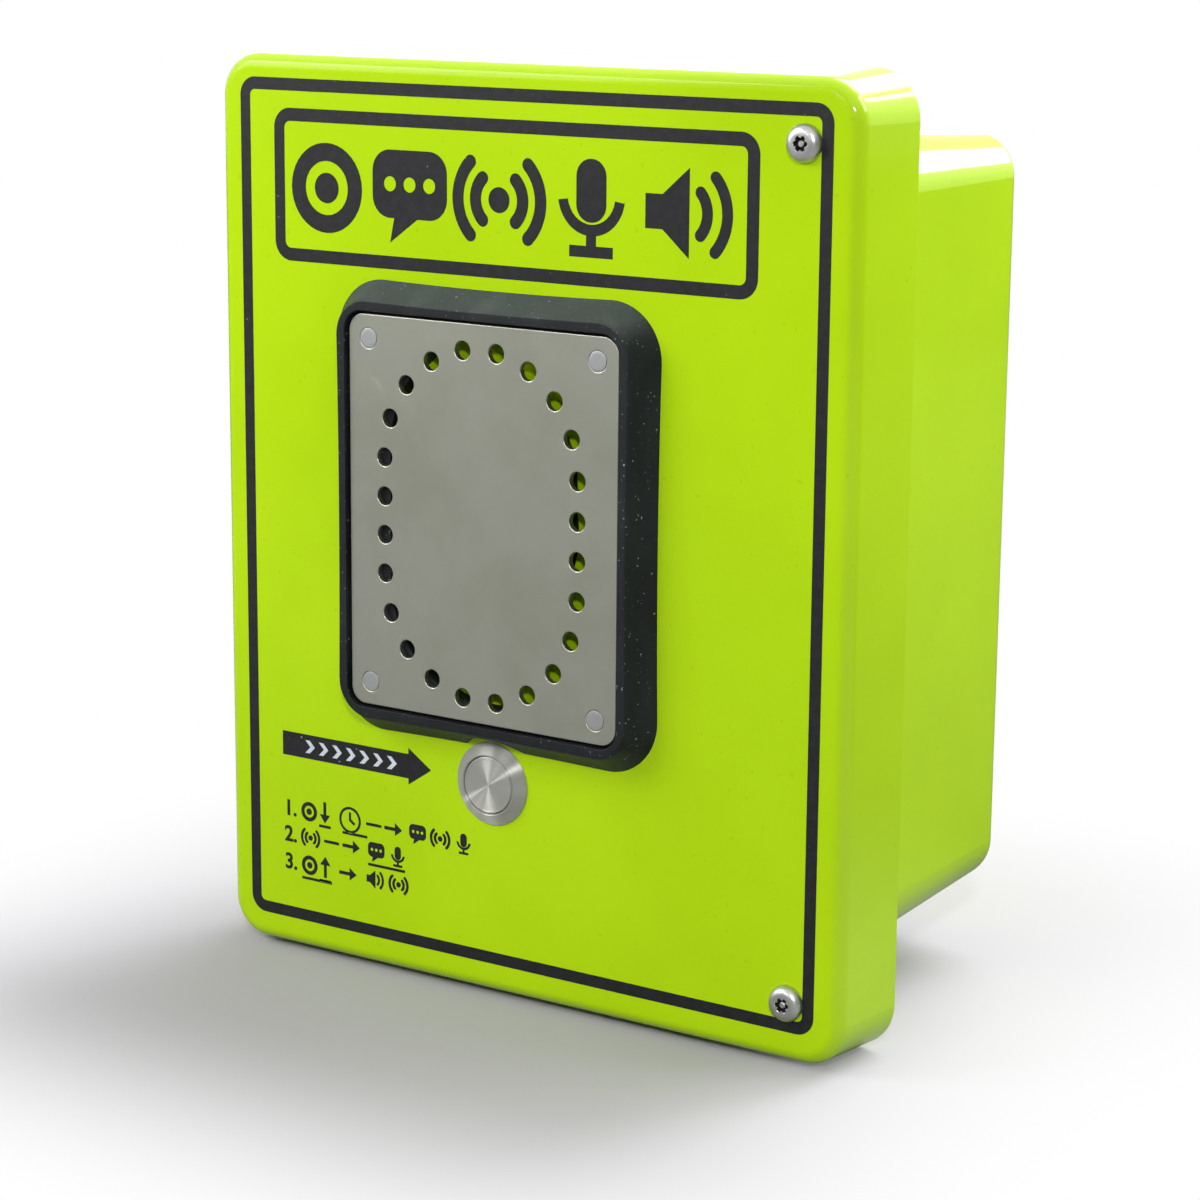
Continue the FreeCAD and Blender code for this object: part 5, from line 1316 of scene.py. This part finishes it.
def makeCoverSeal():
    seal = fromNode("cover_seal")
    width, height = seal["high"].x - seal["low"].x, seal["high"].z - seal["low"].z
    stretch = seal["thick"] / max(away for inward, away in coverSeal["section"])
    rings = []
    for inward, away in coverSeal["section"]:
        draw = inward * mm
        outline = roundedOutline(width - 2 * draw, height - 2 * draw, coverSeal["corner"] - draw, steps=14)
        rings.append([(x, -seal["back"] - away * stretch, z) for x, z in outline])
    addPiece("coverSeal", meshOf("coverSeal", *loft(rings, closed=True)), rubber, "enclosure", sharp=30,
             stands=["cover_seal"])


makeCoverSeal()
print("cover seal made")


# Battery: six cells with plain wraps, and their springs

cell = {
    "radius": 17.1 * mm, "length": 59.5 * mm, "tip": 1.8 * mm, "tipRadius": 4.75 * mm, "depth": 32.4 * mm,
    "columns": (-36 * mm, 0.0, 36 * mm), "bays": (1.0 * mm, -69.0 * mm), "bay": 68 * mm,
    "contact": 0.6 * mm, "lap": 1.9 * mm, "film": 0.35 * mm, "edge": 0.5 * mm, "canEdge": 0.2 * mm,
    "spring": 5.5 * mm, "wire": 0.32 * mm, "springFoot": 3.6 * mm, "springTurns": 4.5,
    "bands": ((5.5 * mm, 8.0 * mm), (9.0 * mm, 9.8 * mm)), "bandRise": 0.04 * mm,
    "mark": 6.5 * mm, "stroke": 1.7 * mm, "markRise": 0.05 * mm, "plusBelowTop": 9 * mm, "minusUp": 14 * mm,
}


def curvedBar(wide, tall, radius, up):
    # A bar bent round the cell, in front of it
    columns = 10
    vertices, faces = [], []
    for number in range(columns + 1):
        angle = (number / columns - 0.5) * wide / radius
        for level in (up - tall / 2, up + tall / 2):
            vertices.append((radius * math.sin(angle), -radius * math.cos(angle), level))
    for number in range(columns):
        faces.append((2 * number, 2 * number + 2, 2 * number + 3, 2 * number + 1))
    return vertices, faces


def makeCell(name, x, low, turn):
    radius, length, tip, tipRadius = cell["radius"], cell["length"], cell["tip"], cell["tipRadius"]
    at = (x, -cell["depth"], low)
    lap, film, edge, soft = cell["lap"], cell["film"], cell["edge"], cell["canEdge"]
    outline = [(radius - lap, 0)] + rounding((radius - edge, 0), (radius, 0), (radius, edge))
    outline += rounding((radius, length - edge), (radius, length), (radius - edge, length))
    outline += [(radius - lap, length), (radius - lap, length - film), (radius - film, length - film),
                (radius - film, film), (radius - lap, film)]
    turned(name + "Wrap", outline, cellWrap, "enclosure", at, 96, closed=True, stands=["battery_cells"],
           turn=turn)
    # The can has a sunk foot, a groove round its lid and a round tip
    outline = [(0, 0.5 * mm), (11.5 * mm, 0.5 * mm), (12.3 * mm, 0.15 * mm), (radius - film, soft)]
    outline += [(radius - film, length - soft), (13.4 * mm, length - soft), (12.7 * mm, length - 1.2 * mm),
                (7.2 * mm, length - 1.2 * mm), (6.2 * mm, length - soft), (tipRadius, length)]
    outline += rounding((tipRadius, length + tip - edge), (tipRadius, length + tip),
                        (tipRadius - edge, length + tip))
    outline.append((0, length + tip))
    turned(name + "Can", outline, zinc, "enclosure", at, 72, turn=turn)
    skin, under = radius + cell["bandRise"], radius - 0.1 * mm
    for start, end in cell["bands"]:
        outline = [(skin, start), (skin, end), (under, end), (under, start)]
        turned(f"{name}Band{int(end / mm)}", outline, whitePlastic, "enclosure", at, 96, closed=True,
               turn=turn)
    makeCellMarks(name, at, turn)


def makeCellMarks(name, at, turn):
    # A plus near the tip and a minus near the foot
    skin, size, stroke = cell["radius"] + cell["markRise"], cell["mark"], cell["stroke"]
    plusUp = cell["length"] - cell["plusBelowTop"]
    vertices, faces = [], []
    for wide, tall, up in ((size, stroke, plusUp), (stroke, size, plusUp), (size, stroke, cell["minusUp"])):
        shift = len(vertices)
        more, quads = curvedBar(wide, tall, skin + 0.01 * mm * (tall > stroke), up)
        if turn is hanging:
            more = [(across, -deep, level) for across, deep, level in more]
        vertices += more
        faces += [tuple(corner + shift for corner in quad) for quad in quads]
    mesh = bpy.data.meshes.new(name + "Marks")
    mesh.from_pydata(vertices, [], faces)
    addPiece(name + "Marks", mesh, whitePlastic, "enclosure", Matrix.Translation(at) @ turn)


def makeBattery():
    spring, contact, full = cell["spring"], cell["contact"], cell["length"] + cell["tip"]
    radii = (cell["tipRadius"] - cell["wire"], cell["springFoot"])
    for row, low in enumerate(cell["bays"]):
        for column, x in enumerate(cell["columns"]):
            name = f"cell{row}{column}"
            # The middle column stands on its head
            if column == 1:
                start, turn, foot = low + contact + full, hanging, low + cell["bay"] - contact
            else:
                start, turn, foot = low + contact + spring, upright, low + contact
            makeCell(name, x, start, turn)
            coil(name + "Spring", radii, cell["wire"], spring, cell["springTurns"], zinc, "enclosure",
                 (x, -cell["depth"], foot), turn, ["battery_springs"])


makeBattery()
print("battery made")


# Parts on the radio board's wall side: x and z from its lower left corner, and height, in millimetres

radio = {
    "left": -70.0, "low": 44.0, "back": 100.4,
    "sockets": {"power": (6, 14, 14, 28, 9), "microphone": (12, 20, 3, 9, 7), "speaker": (24, 34, 3, 9, 7),
                "switch": (37, 47, 3, 9, 7)},
    "chips": {"processor": (26, 40, 18, 32, 1.8, 1.27, True),
              "amplifier": (46, 54, 20, 30, 2.2, 1.27, False),
              "memory": (44, 52, 35, 41, 1.6, 1.27, False)},
    "regulator": (50, 60, 37, 46, 4.5), "crystal": (28, 39, 37, 41, 3.6), "shield": (66, 112, 9, 41, 6.0),
    "capacitors": ((22, 22), (22, 31)), "capacitor": (3.0, 9.0), "small": 46, "seed": 7,
}
# Legs: how far the chip's body stands back, half a leg's width, and each bend (start, stop, low, high)
chip = {"setBack": 1.2, "lift": 0.2, "leg": 0.2, "bends": ((0, 0.8, 0.0, 0.25), (0.55, 1.5, 0.2, 0.95)),
        "dotInset": 0.9, "dot": 0.4}
# The sleeve's steps as (inward, away), how far in its lid ends, and the length and width of the vent's bars
capacitor = {"foot": ((0.3, 0.05), (0, 0.3), (0, 0.8), (0.25, 1.1), (0.25, 1.4), (0, 1.7)),
             "head": ((0, 0.4), (0.3, 0), (0.7, 0), (0.75, 0.2)), "lidInset": 0.75, "vent": (1.7, 0.09)}
# Places without small parts: the capacitors, the aerial's foot and the board's screws
clearPlaces = ((17, 27, 17, 36), (119, 129, -1, 12), (0, 12, 0, 12), (128, 140, 0, 12), (0, 12, 38, 50),
               (128, 140, 38, 50))
smallParts = {"sizes": ((2.0, 1.25), (1.6, 0.8), (3.2, 1.6)), "heights": (0.5, 0.7, 1.0), "clear": 1.1,
              "end": 0.2, "grid": 1.5, "xRange": (4, 134), "zRange": (4, 45), "tries": 4000}
shieldCan = {"corner": 1.6, "lidSheet": 0.22, "lidInset": 0.85, "holes": (11, 7), "pitch": 3.8,
             "hole": 0.75}


def onBoard(x0, x1, z0, z1, low, high):
    # A block whose levels are measured from the board towards the wall
    return (radio["left"] + x0, radio["left"] + x1, radio["back"] - high, radio["back"] - low,
            radio["low"] + z0, radio["low"] + z1)


def barOnBoard(paleFilmOfDustAndLight, along, across, low, high):
    # along runs in x when the bar is lying, else in z
    return onBoard(*((*along, *across) if paleFilmOfDustAndLight else (*across, *along)), low, high)


def boardPoint(x, z, level=0.0):
    return (radio["left"] + x) * mm, -(radio["back"] - level) * mm, (radio["low"] + z) * mm


def boardRing(x0, x1, z0, z1, inset, corner, level, steps):
    centre = ((x0 + x1) / 2, (z0 + z1) / 2)
    outline = roundedOutline(x1 - x0 - 2 * inset, z1 - z0 - 2 * inset, corner, centre, steps=steps)
    return [boardPoint(x, z, level) for x, z in outline]


def chipLegs(edges, middle, span, pitch, paleFilmOfDustAndLight):
    # Bent legs along two opposite edges of a chip
    count = int((span - 0.6) / pitch)
    legs = []
    for number in range(count + 1):
        spot = middle + (number - count / 2) * pitch
        for edge, inward in zip(edges, (1, -1)):
            for start, stop, low, high in chip["bends"]:
                along = sorted((edge + inward * start, edge + inward * stop))
                legs.append(barOnBoard(paleFilmOfDustAndLight, along, (spot - chip["leg"], spot + chip["leg"]), low, high))
    return legs


def makeChip(name, x0, x1, z0, z1, high, pitch, square):
    left, right = x0 + chip["setBack"], x1 - chip["setBack"]
    bottom, top = (z0 + chip["setBack"], z1 - chip["setBack"]) if square else (z0, z1)
    blocks(name, [onBoard(left, right, bottom, top, chip["lift"], high)], 0.18, blackPlastic, "cover",
           ["board_components"])
    legs = chipLegs((x0, x1), (z0 + z1) / 2, top - bottom, pitch, True)
    if square:
        legs += chipLegs((z0, z1), (x0 + x1) / 2, right - left, pitch, False)
    blocks(name + "Legs", legs, 0.05, zinc, "cover")
    dot = chip["dot"] * mm
    outline = [(0, 0.02 * mm), (dot, 0.02 * mm), (dot + 0.05 * mm, -0.05 * mm)]
    turned(name + "Dot", outline, whitePlastic, "cover",
           boardPoint(left + chip["dotInset"], top - chip["dotInset"], high), 20, turn=faceBack)


def makeSocket(name, x0, x1, z0, z1, high, wall=0.9):
    # The power socket is open towards the wall, and the others open downwards
    walls = [onBoard(x0, x0 + wall, z0, z1, 0, high), onBoard(x1 - wall, x1, z0, z1, 0, high)]
    if name == "power":
        walls += [onBoard(x0, x1, z0, z0 + wall, 0, high), onBoard(x0, x1, z1 - wall, z1, 0, high),
                  onBoard(x0, x1, z0, z1, 0, 1.6)]
        plug = [onBoard(x0 + 1.1, x1 - 1.1, z0 + 1.1, z1 - 1.1, 1.7, high + 3.2),
                onBoard(x0 + 0.5, x1 - 0.5, z0 + 3, z1 - 3, high + 1.8, high + 2.9)]
    else:
        walls += [onBoard(x0, x1, z0, z1, high - wall, high), onBoard(x0, x1, z0, z1, 0, wall),
                  onBoard(x0, x1, z1 - wall, z1, 0, high)]
        plug = [onBoard(x0 + 1.1, x1 - 1.1, z0 - 2.6, z1 - 1.2, 1.1, high - 1.1),
                onBoard(x0 + 0.6, x1 - 0.6, z0 - 2.2, z0 - 1.2, 0.7, high - 0.7)]
    blocks(name + "Socket", walls, 0.18, whitePlastic, "cover", ["board_components"])
    blocks(name + "Plug", plug, 0.25, cream, "cover")


def makeRegulator():
    x0, x1, z0, z1, high = radio["regulator"]
    blocks("regulator", [onBoard(x0, x1, z0, z1 - 3, 0.2, high)], 0.3, blackPlastic, "cover",
           ["board_components"])
    tab = [onBoard(x0 + 0.4, x1 - 0.4, z0 + 0.6, z1, 0, 0.9)]
    legs = [onBoard(x0 + across - 0.45, x0 + across + 0.45, z0 - 2.2, z0 + 0.3, 0, 0.5)
            for across in (2, 5, 8)]
    blocks("regulatorTab", tab + legs, 0.15, zinc, "cover")


def makeCrystal():
    *sides, high = radio["crystal"]
    corner = (sides[3] - sides[2]) / 2 - 0.05
    rings = []
    for inset, level in ((0, 0), (0, 0.5), (0.45, 0.55), (0.45, high - 0.6), (0.6, high - 0.2), (1.0, high)):
        rings.append(boardRing(*sides, inset, corner - inset, level, 8))
    addPiece("crystal", meshOf("crystal", *loft(rings, caps=True)), zinc, "cover", sharp=30,
             stands=["board_components"])


def makeCapacitor(number, across, up):
    radius, tall = (value * mm for value in radio["capacitor"])
    at = boardPoint(across, up)
    sleeve = [(0, 0.05 * mm)] + stepped(radius, capacitor["foot"])
    sleeve += stepped(radius, capacitor["head"], tall, -1) + [(0, tall - 0.2 * mm)]
    turned(f"capacitor{number}", sleeve, capacitorSleeve, "cover", at, 48, stands=["board_components"],
           turn=faceBack)
    lid, top = radius - capacitor["lidInset"] * mm, (at[0], at[1] + tall - 0.19 * mm, at[2])
    turned(f"capacitorTop{number}", [(0, 0), (lid, 0), (lid, -0.1 * mm)], sheetAluminium, "cover", top, 40,
           turn=faceBack)
    x, depth, z = top[0] / mm, -top[1] / mm, top[2] / mm
    long, thin = capacitor["vent"]
    bars = [(x - half, x + half, depth - 0.03, depth + 0.05, z - other, z + other)
            for half, other in ((long, thin), (thin, long))]
    blocks(f"capacitorVent{number}", bars, 0.01, blackPlastic, "cover")


def makeRadio():
    for name, values in radio["sockets"].items():
        makeSocket(name, *values)
    for name, values in radio["chips"].items():
        makeChip(name, *values)
    makeRegulator()
    makeCrystal()
    for number, (across, up) in enumerate(radio["capacitors"]):
        makeCapacitor(number, across, up)
    makeSmallParts()
    makeShieldCan()


def makeSmallParts():
    # Little two-ended parts in rows, at places that are clear of the large ones
    dice = random.Random(radio["seed"])
    large = [*radio["sockets"].values(), *radio["chips"].values(), radio["regulator"], radio["crystal"],
             radio["shield"]]
    taken = [values[:4] for values in large] + list(clearPlaces)
    grid, clear = smallParts["grid"], smallParts["clear"]
    cases, ends, paleCases = [], [], []
    tries = 0
    while len(cases) + len(paleCases) < radio["small"] and tries < smallParts["tries"]:
        tries += 1
        x = round(dice.uniform(*smallParts["xRange"]) / grid) * grid
        z = round(dice.uniform(*smallParts["zRange"]) / grid) * grid
        paleFilmOfDustAndLight = dice.random() < 0.5
        long, short = dice.choice(smallParts["sizes"])
        wide, tall = (long, short) if paleFilmOfDustAndLight else (short, long)
        high = dice.choice(smallParts["heights"])
        spot = (x - wide / 2 - clear, x + wide / 2 + clear, z - tall / 2 - clear, z + tall / 2 + clear)
        if any(spot[0] < there[1] and spot[1] > there[0] and spot[2] < there[3] and spot[3] > there[2]
               for there in taken):
            continue
        taken.append(spot)
        end = long * smallParts["end"]
        keep = cases if dice.random() < 0.5 else paleCases
        start, stop = ((x if paleFilmOfDustAndLight else z) + side * long / 2 for side in (-1, 1))
        across = [(z if paleFilmOfDustAndLight else x) + side * short / 2 for side in (-1, 1)]
        keep.append(barOnBoard(paleFilmOfDustAndLight, (start + end, stop - end), across, 0.03, high))
        ends += [barOnBoard(paleFilmOfDustAndLight, (start, start + end), across, 0.0, high + 0.03),
                 barOnBoard(paleFilmOfDustAndLight, (stop - end, stop), across, 0.0, high + 0.03)]
    blocks("boardResistors", cases, 0.05, blackPlastic, "cover")
    blocks("boardCapacitors", paleCases, 0.05, tanBoard, "cover")
    blocks("boardSolderEnds", ends, 0.06, zinc, "cover")


def makeShieldCan():
    # A folded can with a perforated lid
    *sides, high = radio["shield"]
    corner, pitch, sheet = shieldCan["corner"], shieldCan["pitch"] * mm, shieldCan["lidSheet"]
    rings = []
    for inset, level in ((0.3, 0), (0.3, 0.9), (0.12, 1.0), (0.12, high - 0.7), (0.3, high - 0.25),
                         (0.9, high - 0.1), (0.9, high - 0.5), (0.55, high - 0.8), (0.55, 0)):
        rings.append(boardRing(*sides, inset, corner - min(inset, 0.8), level, 6))
    addPiece("shieldWalls", meshOf("shieldWalls", *loft(rings, closed=True)), zinc, "cover", sharp=30,
             stands=["radio_shield"])
    x0, x1, z0, z1 = sides
    inset, (columns, rows) = 2 * shieldCan["lidInset"] * mm, shieldCan["holes"]
    outlines = [roundedOutline((x1 - x0) * mm - inset, (z1 - z0) * mm - inset, 0.8 * mm, steps=5)]
    for column in range(columns):
        for row in range(rows):
            outlines.append(circleOutline((column - columns // 2) * pitch, (row - rows // 2) * pitch,
                                          shieldCan["hole"] * mm, 14))
    matrix = Matrix.Translation(boardPoint((x0 + x1) / 2, (z0 + z1) / 2, high - sheet)) @ faceBack
    addPiece("shieldLid", flatMesh("shieldLid", outlines, sheet * mm, 0.04 * mm, 1), zinc, "cover", matrix)


makeRadio()
print("radio made")


# Aerial: a ribbed rubber rod with its foot

# Radii as shares of the widest one, and places down from the top
aerial = {"neck": 0.8, "waist": 0.86, "root": 0.87, "crest": 0.98, "shoulder": 0.9,
          "ribs": 7, "ribFrom": 24 * mm, "ribPitch": 2.4 * mm, "rib": ((0, 0.5), (1.3, 1.8)),
          "head": (6.6 * mm, 5.6 * mm), "tip": 0.5 * mm}


def makeAerial():
    rod, size = fromNode("aerial"), aerial
    reach, length = (rod["high"].x - rod["low"].x) / 2, rod["high"].z - rod["low"].z
    outline = [(0, 0), (reach * 0.5, 0.1 * mm)]
    outline += rounding((reach * 0.62, 0.3 * mm), (reach * 0.78, 0.6 * mm),
                        (reach * size["neck"], 2.6 * mm))
    outline += [(reach * size["waist"], length - size["ribFrom"] - 2 * mm)]
    root, crest, tip = reach * size["root"], reach * size["crest"], size["tip"]
    (rise, full), (fall, flat) = size["rib"]
    for number in range(size["ribs"]):
        low = length - size["ribFrom"] + number * size["ribPitch"]
        outline += [(root, low + rise * mm), (crest, low + full * mm), (crest, low + fall * mm),
                    (root, low + flat * mm)]
    shoulder, head = size["head"]
    outline += [(reach * size["shoulder"], length - shoulder), (reach, length - head),
                (reach, length - tip), (reach - tip, length), (0, length)]
    turned("aerialRod", outline, rubber, "cover", (rod["middle"].x, rod["middle"].y, rod["low"].z), 64,
           stands=["aerial"], turn=upright)


makeAerial()
print("aerial made")


# Wires: pairs of twisted strands along the same routes as in the CAD source, in millimetres (x, depth, z)

wires = {
    "harness": {
        "node": "battery_harness", "radius": 0.9, "twist": 26, "finishes": ("red", "black"),
        "route": ((-30, 26, 71), (-30, 26, 81), (-46, 31, 84), (-65.21, 36, 78), (-71.21, 43, 58),
                  (-72.21, 52, 39), (-71.21, 63, 34), (-69.21, 70, 47), (-60, 77.4, 65), (-60, 91.4, 65)),
        "start": ((-2.2, 0, 0), (2.2, 0, 0)), "end": ((0, 0, -2.6), (0, 0, 2.6)),
    },
    "speakerLead": {
        "node": "speaker_lead", "radius": 0.5, "twist": 9, "finishes": ("grey", "black"),
        "route": ((-41, 96.4, 47), (-41, 96.4, 40), (-44, 97.4, 28), (-39.7, 97.4, 18.95),
                  (-40.7, 103.1, 8.95), (-34.0, 103.1, 3.95)),
        "start": ((-1.3, 0, 0), (1.3, 0, 0)), "end": ((-2.2, -0.8, 2.6), (-2.2, -0.8, -2.6)),
    },
    "buttonLead": {
        "node": "button_lead", "radius": 0.5, "twist": 9, "finishes": ("blue", "grey"),
        "route": ((-28, 96.4, 47), (-28, 96.4, 39), (-38, 90.4, 26), (-46, 88.4, 4), (-45, 79, -33.2),
                  (-30.2, 73, -51.2), (-15.2, 69, -57.7), (-11.2, 72, -59.7), (-11.2, 79, -59.7)),
        "start": ((-1.3, 0, 0), (1.3, 0, 0)), "end": ((0, 0, 0), (7, 0, 0)),
    },
    "microphoneLead": {
        "node": "microphone_lead", "radius": 0.5, "twist": 9, "finishes": ("red", "grey"),
        "route": ((-54, 96.4, 47), (-54, 96.4, 40), (-52, 98.4, 28), (-48, 98.4, 0), (-37.7, 98.5, -29.05),
                  (-21.2, 97.5, -35.05), (-7.2, 98.5, -35.05), (-7.2, 105.3, -35.05)),
        "start": ((-1.3, 0, 0), (1.3, 0, 0)), "end": ((-1.2, 0, 0), (1.2, 0, 0)),
    },
}
# Where a pair spreads to its ends: over this length, or this share of a short wire
fanOut = {"length": 9 * mm, "share": 0.2}


def routePoints(name, route):
    curve = bpy.data.curves.new(name, "CURVE")
    curve.dimensions = "3D"
    spline = curve.splines.new("NURBS")
    spline.points.add(len(route) - 1)
    for point, (x, depth, z) in zip(spline.points, route):
        point.co = (x * mm, -depth * mm, z * mm, 1)
    spline.order_u = 3
    spline.use_endpoint_u = True
    spline.resolution_u = 14
    return [vertex.co.copy() for vertex in meshFrom(name, curve).vertices]


def easing(share):
    share = min(max(share, 0), 1)
    return share * share * (3 - 2 * share)


def makeWires():
    colours = {"red": redJacket, "black": jacket, "grey": greyJacket, "blue": blueJacket}
    for name, wire in wires.items():
        path = routePoints(name, wire["route"])
        frames = alongPath(path)
        lengths = [0]
        for first, second in zip(path, path[1:]):
            lengths.append(lengths[-1] + (second - first).length)
        whole, fan = lengths[-1], min(fanOut["length"], lengths[-1] * fanOut["share"])
        apart, twist = wire["radius"] * 1.05 * mm, wire["twist"] * mm
        for number, shade in enumerate(wire["finishes"]):
            start, end = (Vector((x, -depth, z)) * mm for x, depth, z in (wire["start"][number],
                                                                        wire["end"][number]))
            points = []
            for point, (ahead, side, up), length in zip(path, frames, lengths):
                atStart, atEnd = 1 - easing(length / fan), easing((length - whole + fan) / fan)
                angle = 2 * math.pi * length / twist + math.pi * number
                away = (side * math.cos(angle) + up * math.sin(angle)) * apart
                points.append(point + away * (1 - atStart) * (1 - atEnd) + start * atStart + end * atEnd)
            piece = f"{name}{shade.capitalize()}"
            crossesHinge = name == "harness"
            made = addPiece(piece, tubeMesh(piece, points, wire["radius"] * mm), colours[shade],
                            None if crossesHinge else "cover", sharp=60, stands=[wire["node"]])
            if crossesHinge:
                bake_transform(made)


makeWires()
plugs = {
    "harnessPlug": ((-34.6, -25.4, 23.2, 28.8, 70.6, 75.5), (-33.8, -26.2, 22.7, 29.3, 72.2, 73.6)),
    "buttonSleeves": ((-13.4, -9.0, 75.5, 82, -60.9, -58.5), (-6.4, -2.0, 75.5, 82, -60.9, -58.5)),
}
blocks("harnessPlug", plugs["harnessPlug"], 0.35, cream, "enclosure")
blocks("buttonSleeves", plugs["buttonSleeves"], 0.5, redJacket, "cover")
print("wires made")


# Finishes of the nodes that stay

nodeFinishes = {
    shell: ["front_cover", "rear_box"],
    screwSteel: ["hinge_pin"],
    plateSteel: ["hinge_box_leaf", "hinge_cover_leaf"],
    zinc: ["wall_washers", "hinge_box_rivets", "hinge_cover_rivets", "grille_nuts", "button_nut",
           "speaker_basket", "battery_contacts", "upper_retainer", "lower_retainer"],
    sheetAluminium: ["back_panel", "battery_straps"],
    brass: ["screw_inserts", "aerial_connector", "button_terminals"],
    blackPlastic: ["battery_holder"],
    board: ["radio_board"],
}


def finishNodes():
    for finish, names in nodeFinishes.items():
        for name in names:
            for place in nodes[name].material_slots:
                place.material = finish.material


finishNodes()
print("nodes finished")


# Camera, floor and light

camera = {"place": (0.45925, -0.7552, 0.15645), "right": (0.82701571, 0.56211502, 0.00846876),
          "up": (-0.12546355, 0.16986301, 0.97744844), "ahead": (-0.54799992, 0.80942774, -0.21100432),
          "lens": 95.849, "sensor": 36.0}


def makeCamera():
    lens = bpy.data.cameras.new("photoCamera")
    lens.sensor_width = camera["sensor"]
    lens.sensor_fit = "HORIZONTAL"
    lens.lens = camera["lens"]
    lens.clip_start = 0.01
    made = bpy.data.objects.new("photoCamera", lens)
    bpy.context.scene.collection.objects.link(made)
    right, up, ahead = (Vector(camera[way]) for way in ("right", "up", "ahead"))
    turn = Matrix((right, up, -ahead)).transposed().to_4x4()
    made.matrix_world = Matrix.Translation(camera["place"]) @ turn
    bpy.context.scene.camera = made


lamps = {
    "overhead": {"place": (0.15, 0.72, 1.12), "size": (1.0, 0.9), "watts": 21.0},
    "frontHigh": {"place": (-0.25, -1.5, 0.62), "size": (0.35, 0.35), "watts": 2.5},
    "nearCamera": {"place": (0.85, -1.3, 0.72), "size": (0.1, 0.1), "watts": 10.0},
    "frontLeft": {"place": (-0.52, -0.56, 0.4), "size": (0.4, 0.4), "watts": 3.7},
    "rightSide": {"place": (0.36, 0.06, 0.34), "size": (0.2, 0.2), "watts": 0.95},
    "backRight": {"place": (0.38, 1.03, 0.52), "size": (0.46, 0.42), "watts": 6.0},
    "backLeft": {"place": (-0.85, 1.3, 0.34), "size": (0.9, 0.4), "watts": 5.0},
}
# Pairs say where a slope starts and ends
studio = {
    "ambient": 0.3, "dimEnd": 0.28, "ceiling": (0.3, 0.9), "backWall": (0.1, 0.7),
    "backFoot": (-0.1, 0.12), "leftWall": (0.4, 0.75), "leftFoot": (-0.2, 0.2),
    "floorSeen": colour(183, 180, 186), "floorShade": colour(150, 150, 150),
    "floorMirrored": colour(60, 60, 60), "floorBehind": (-0.1, 0.12),
    "floorDrop": 0.4 * mm, "floorRadius": 3.0,
    "shadowMiddle": (-0.018, -0.07), "shadowHalf": (0.072, 0.092), "shadow": (0.0, 0.12),
}


def makeLamps():
    for name, lamp in lamps.items():
        light = bpy.data.lights.new(name, "AREA")
        light.shape = "RECTANGLE"
        light.size, light.size_y = lamp["size"]
        light.energy = lamp["watts"]
        made = bpy.data.objects.new(name, light)
        bpy.context.scene.collection.objects.link(made)
        place = Vector(lamp["place"])
        aim = (-place).to_track_quat("-Z", "Y").to_matrix().to_4x4()
        made.matrix_world = Matrix.Translation(place) @ aim


def makeWorld():
    world = bpy.data.worlds.new("studio")
    world.use_nodes = True
    bpy.context.scene.world = world
    room = Network(world.node_tree)
    # Mirrored rays see the white ceiling, back wall and left wall, and the dim end of the room in front
    way = room.add("TexCoord", {}, {}, "Generated")
    across, deep, up = (room.part(way, axis) for axis in "XYZ")
    behind = room.rise(deep, *studio["backWall"]) * room.rise(up, *studio["backFoot"])
    lit = room.maths("MAXIMUM", room.rise(up, *studio["ceiling"]), behind)
    left = room.rise(0 - across, *studio["leftWall"]) * room.rise(up, *studio["leftFoot"])
    lit = room.maths("MAXIMUM", lit, left)
    seen = room.add("LightPath", {}, {}, "Is Camera Ray")
    mirrored = room.maths("MAXIMUM", room.add("LightPath", {}, {}, "Is Glossy Ray"),
                          room.add("LightPath", {}, {}, "Is Transmission Ray"))
    dim = studio["dimEnd"]
    strength = seen + mirrored * (dim + lit * (1 - dim)) + (1 - seen) * (1 - mirrored) * studio["ambient"]
    background = world.node_tree.nodes["Background"]
    room.feed(background.inputs["Strength"], strength)
    background.inputs["Color"].default_value = (1, 1, 1, 1)


def makeFloor():
    # Near the object the floor is lit, so it keeps the object's shadow, and its darker colour there also
    # paints shade; it fades to white a little way off
    finish = Finish("paleFloor", None, Roughness=0.9, Specular_IOR_Level=0.1)
    path = finish.add("LightPath", {}, {}, "Is Camera Ray")
    mirrored = finish.add("LightPath", {}, {}, "Is Glossy Ray")
    # Behind the object the mirrored floor is dim, so that the right side keeps its colour
    behind = finish.rise(finish.part(finish.place(), "Y"), *studio["floorBehind"])
    shade = finish.mix(mirrored * behind, studio["floorShade"], studio["floorMirrored"])
    finish.set("Base Color", finish.mix(path, shade, studio["floorSeen"]))
    middleX, middleY = studio["shadowMiddle"]
    spot = finish.vectors("ABSOLUTE", finish.place(shift=(-middleX, -middleY, 0)))
    beyond = finish.vectors("SUBTRACT", spot, (*studio["shadowHalf"], 0))
    beyond = finish.vectors("MAXIMUM", beyond, (0, 0, 0))
    reach = finish.add("VectorMath", {"operation": "LENGTH"}, {0: beyond}, "Value")
    fading = finish.rise(reach, *studio["shadow"]) * path
    glow = finish.add("Emission", {}, {"Color": (1, 1, 1, 1), "Strength": 1.0})
    mixed = finish.add("MixShader", {}, {0: fading, 1: Field(finish, finish.shader.outputs[0]), 2: glow})
    output = finish.tree.nodes["Material Output"]
    finish.feed(output.inputs["Surface"], mixed)
    bottom = min(cadBox[0][2], cadBox[1][2]) - studio["floorDrop"]
    rings = [ringOf(radius, 0, 64) for radius in (0.00001, 0.3, studio["floorRadius"])]
    mesh = meshOf("studioFloor", *loft(rings))
    mesh.materials.append(finish.material)
    made = bpy.data.objects.new("studioFloor", mesh)
    bpy.context.scene.collection.objects.link(made)
    made.location = (0, 0, bottom)


makeCamera()
makeLamps()
makeWorld()
makeFloor()
bpy.context.scene.view_settings.view_transform = "Standard"
print("studio made")
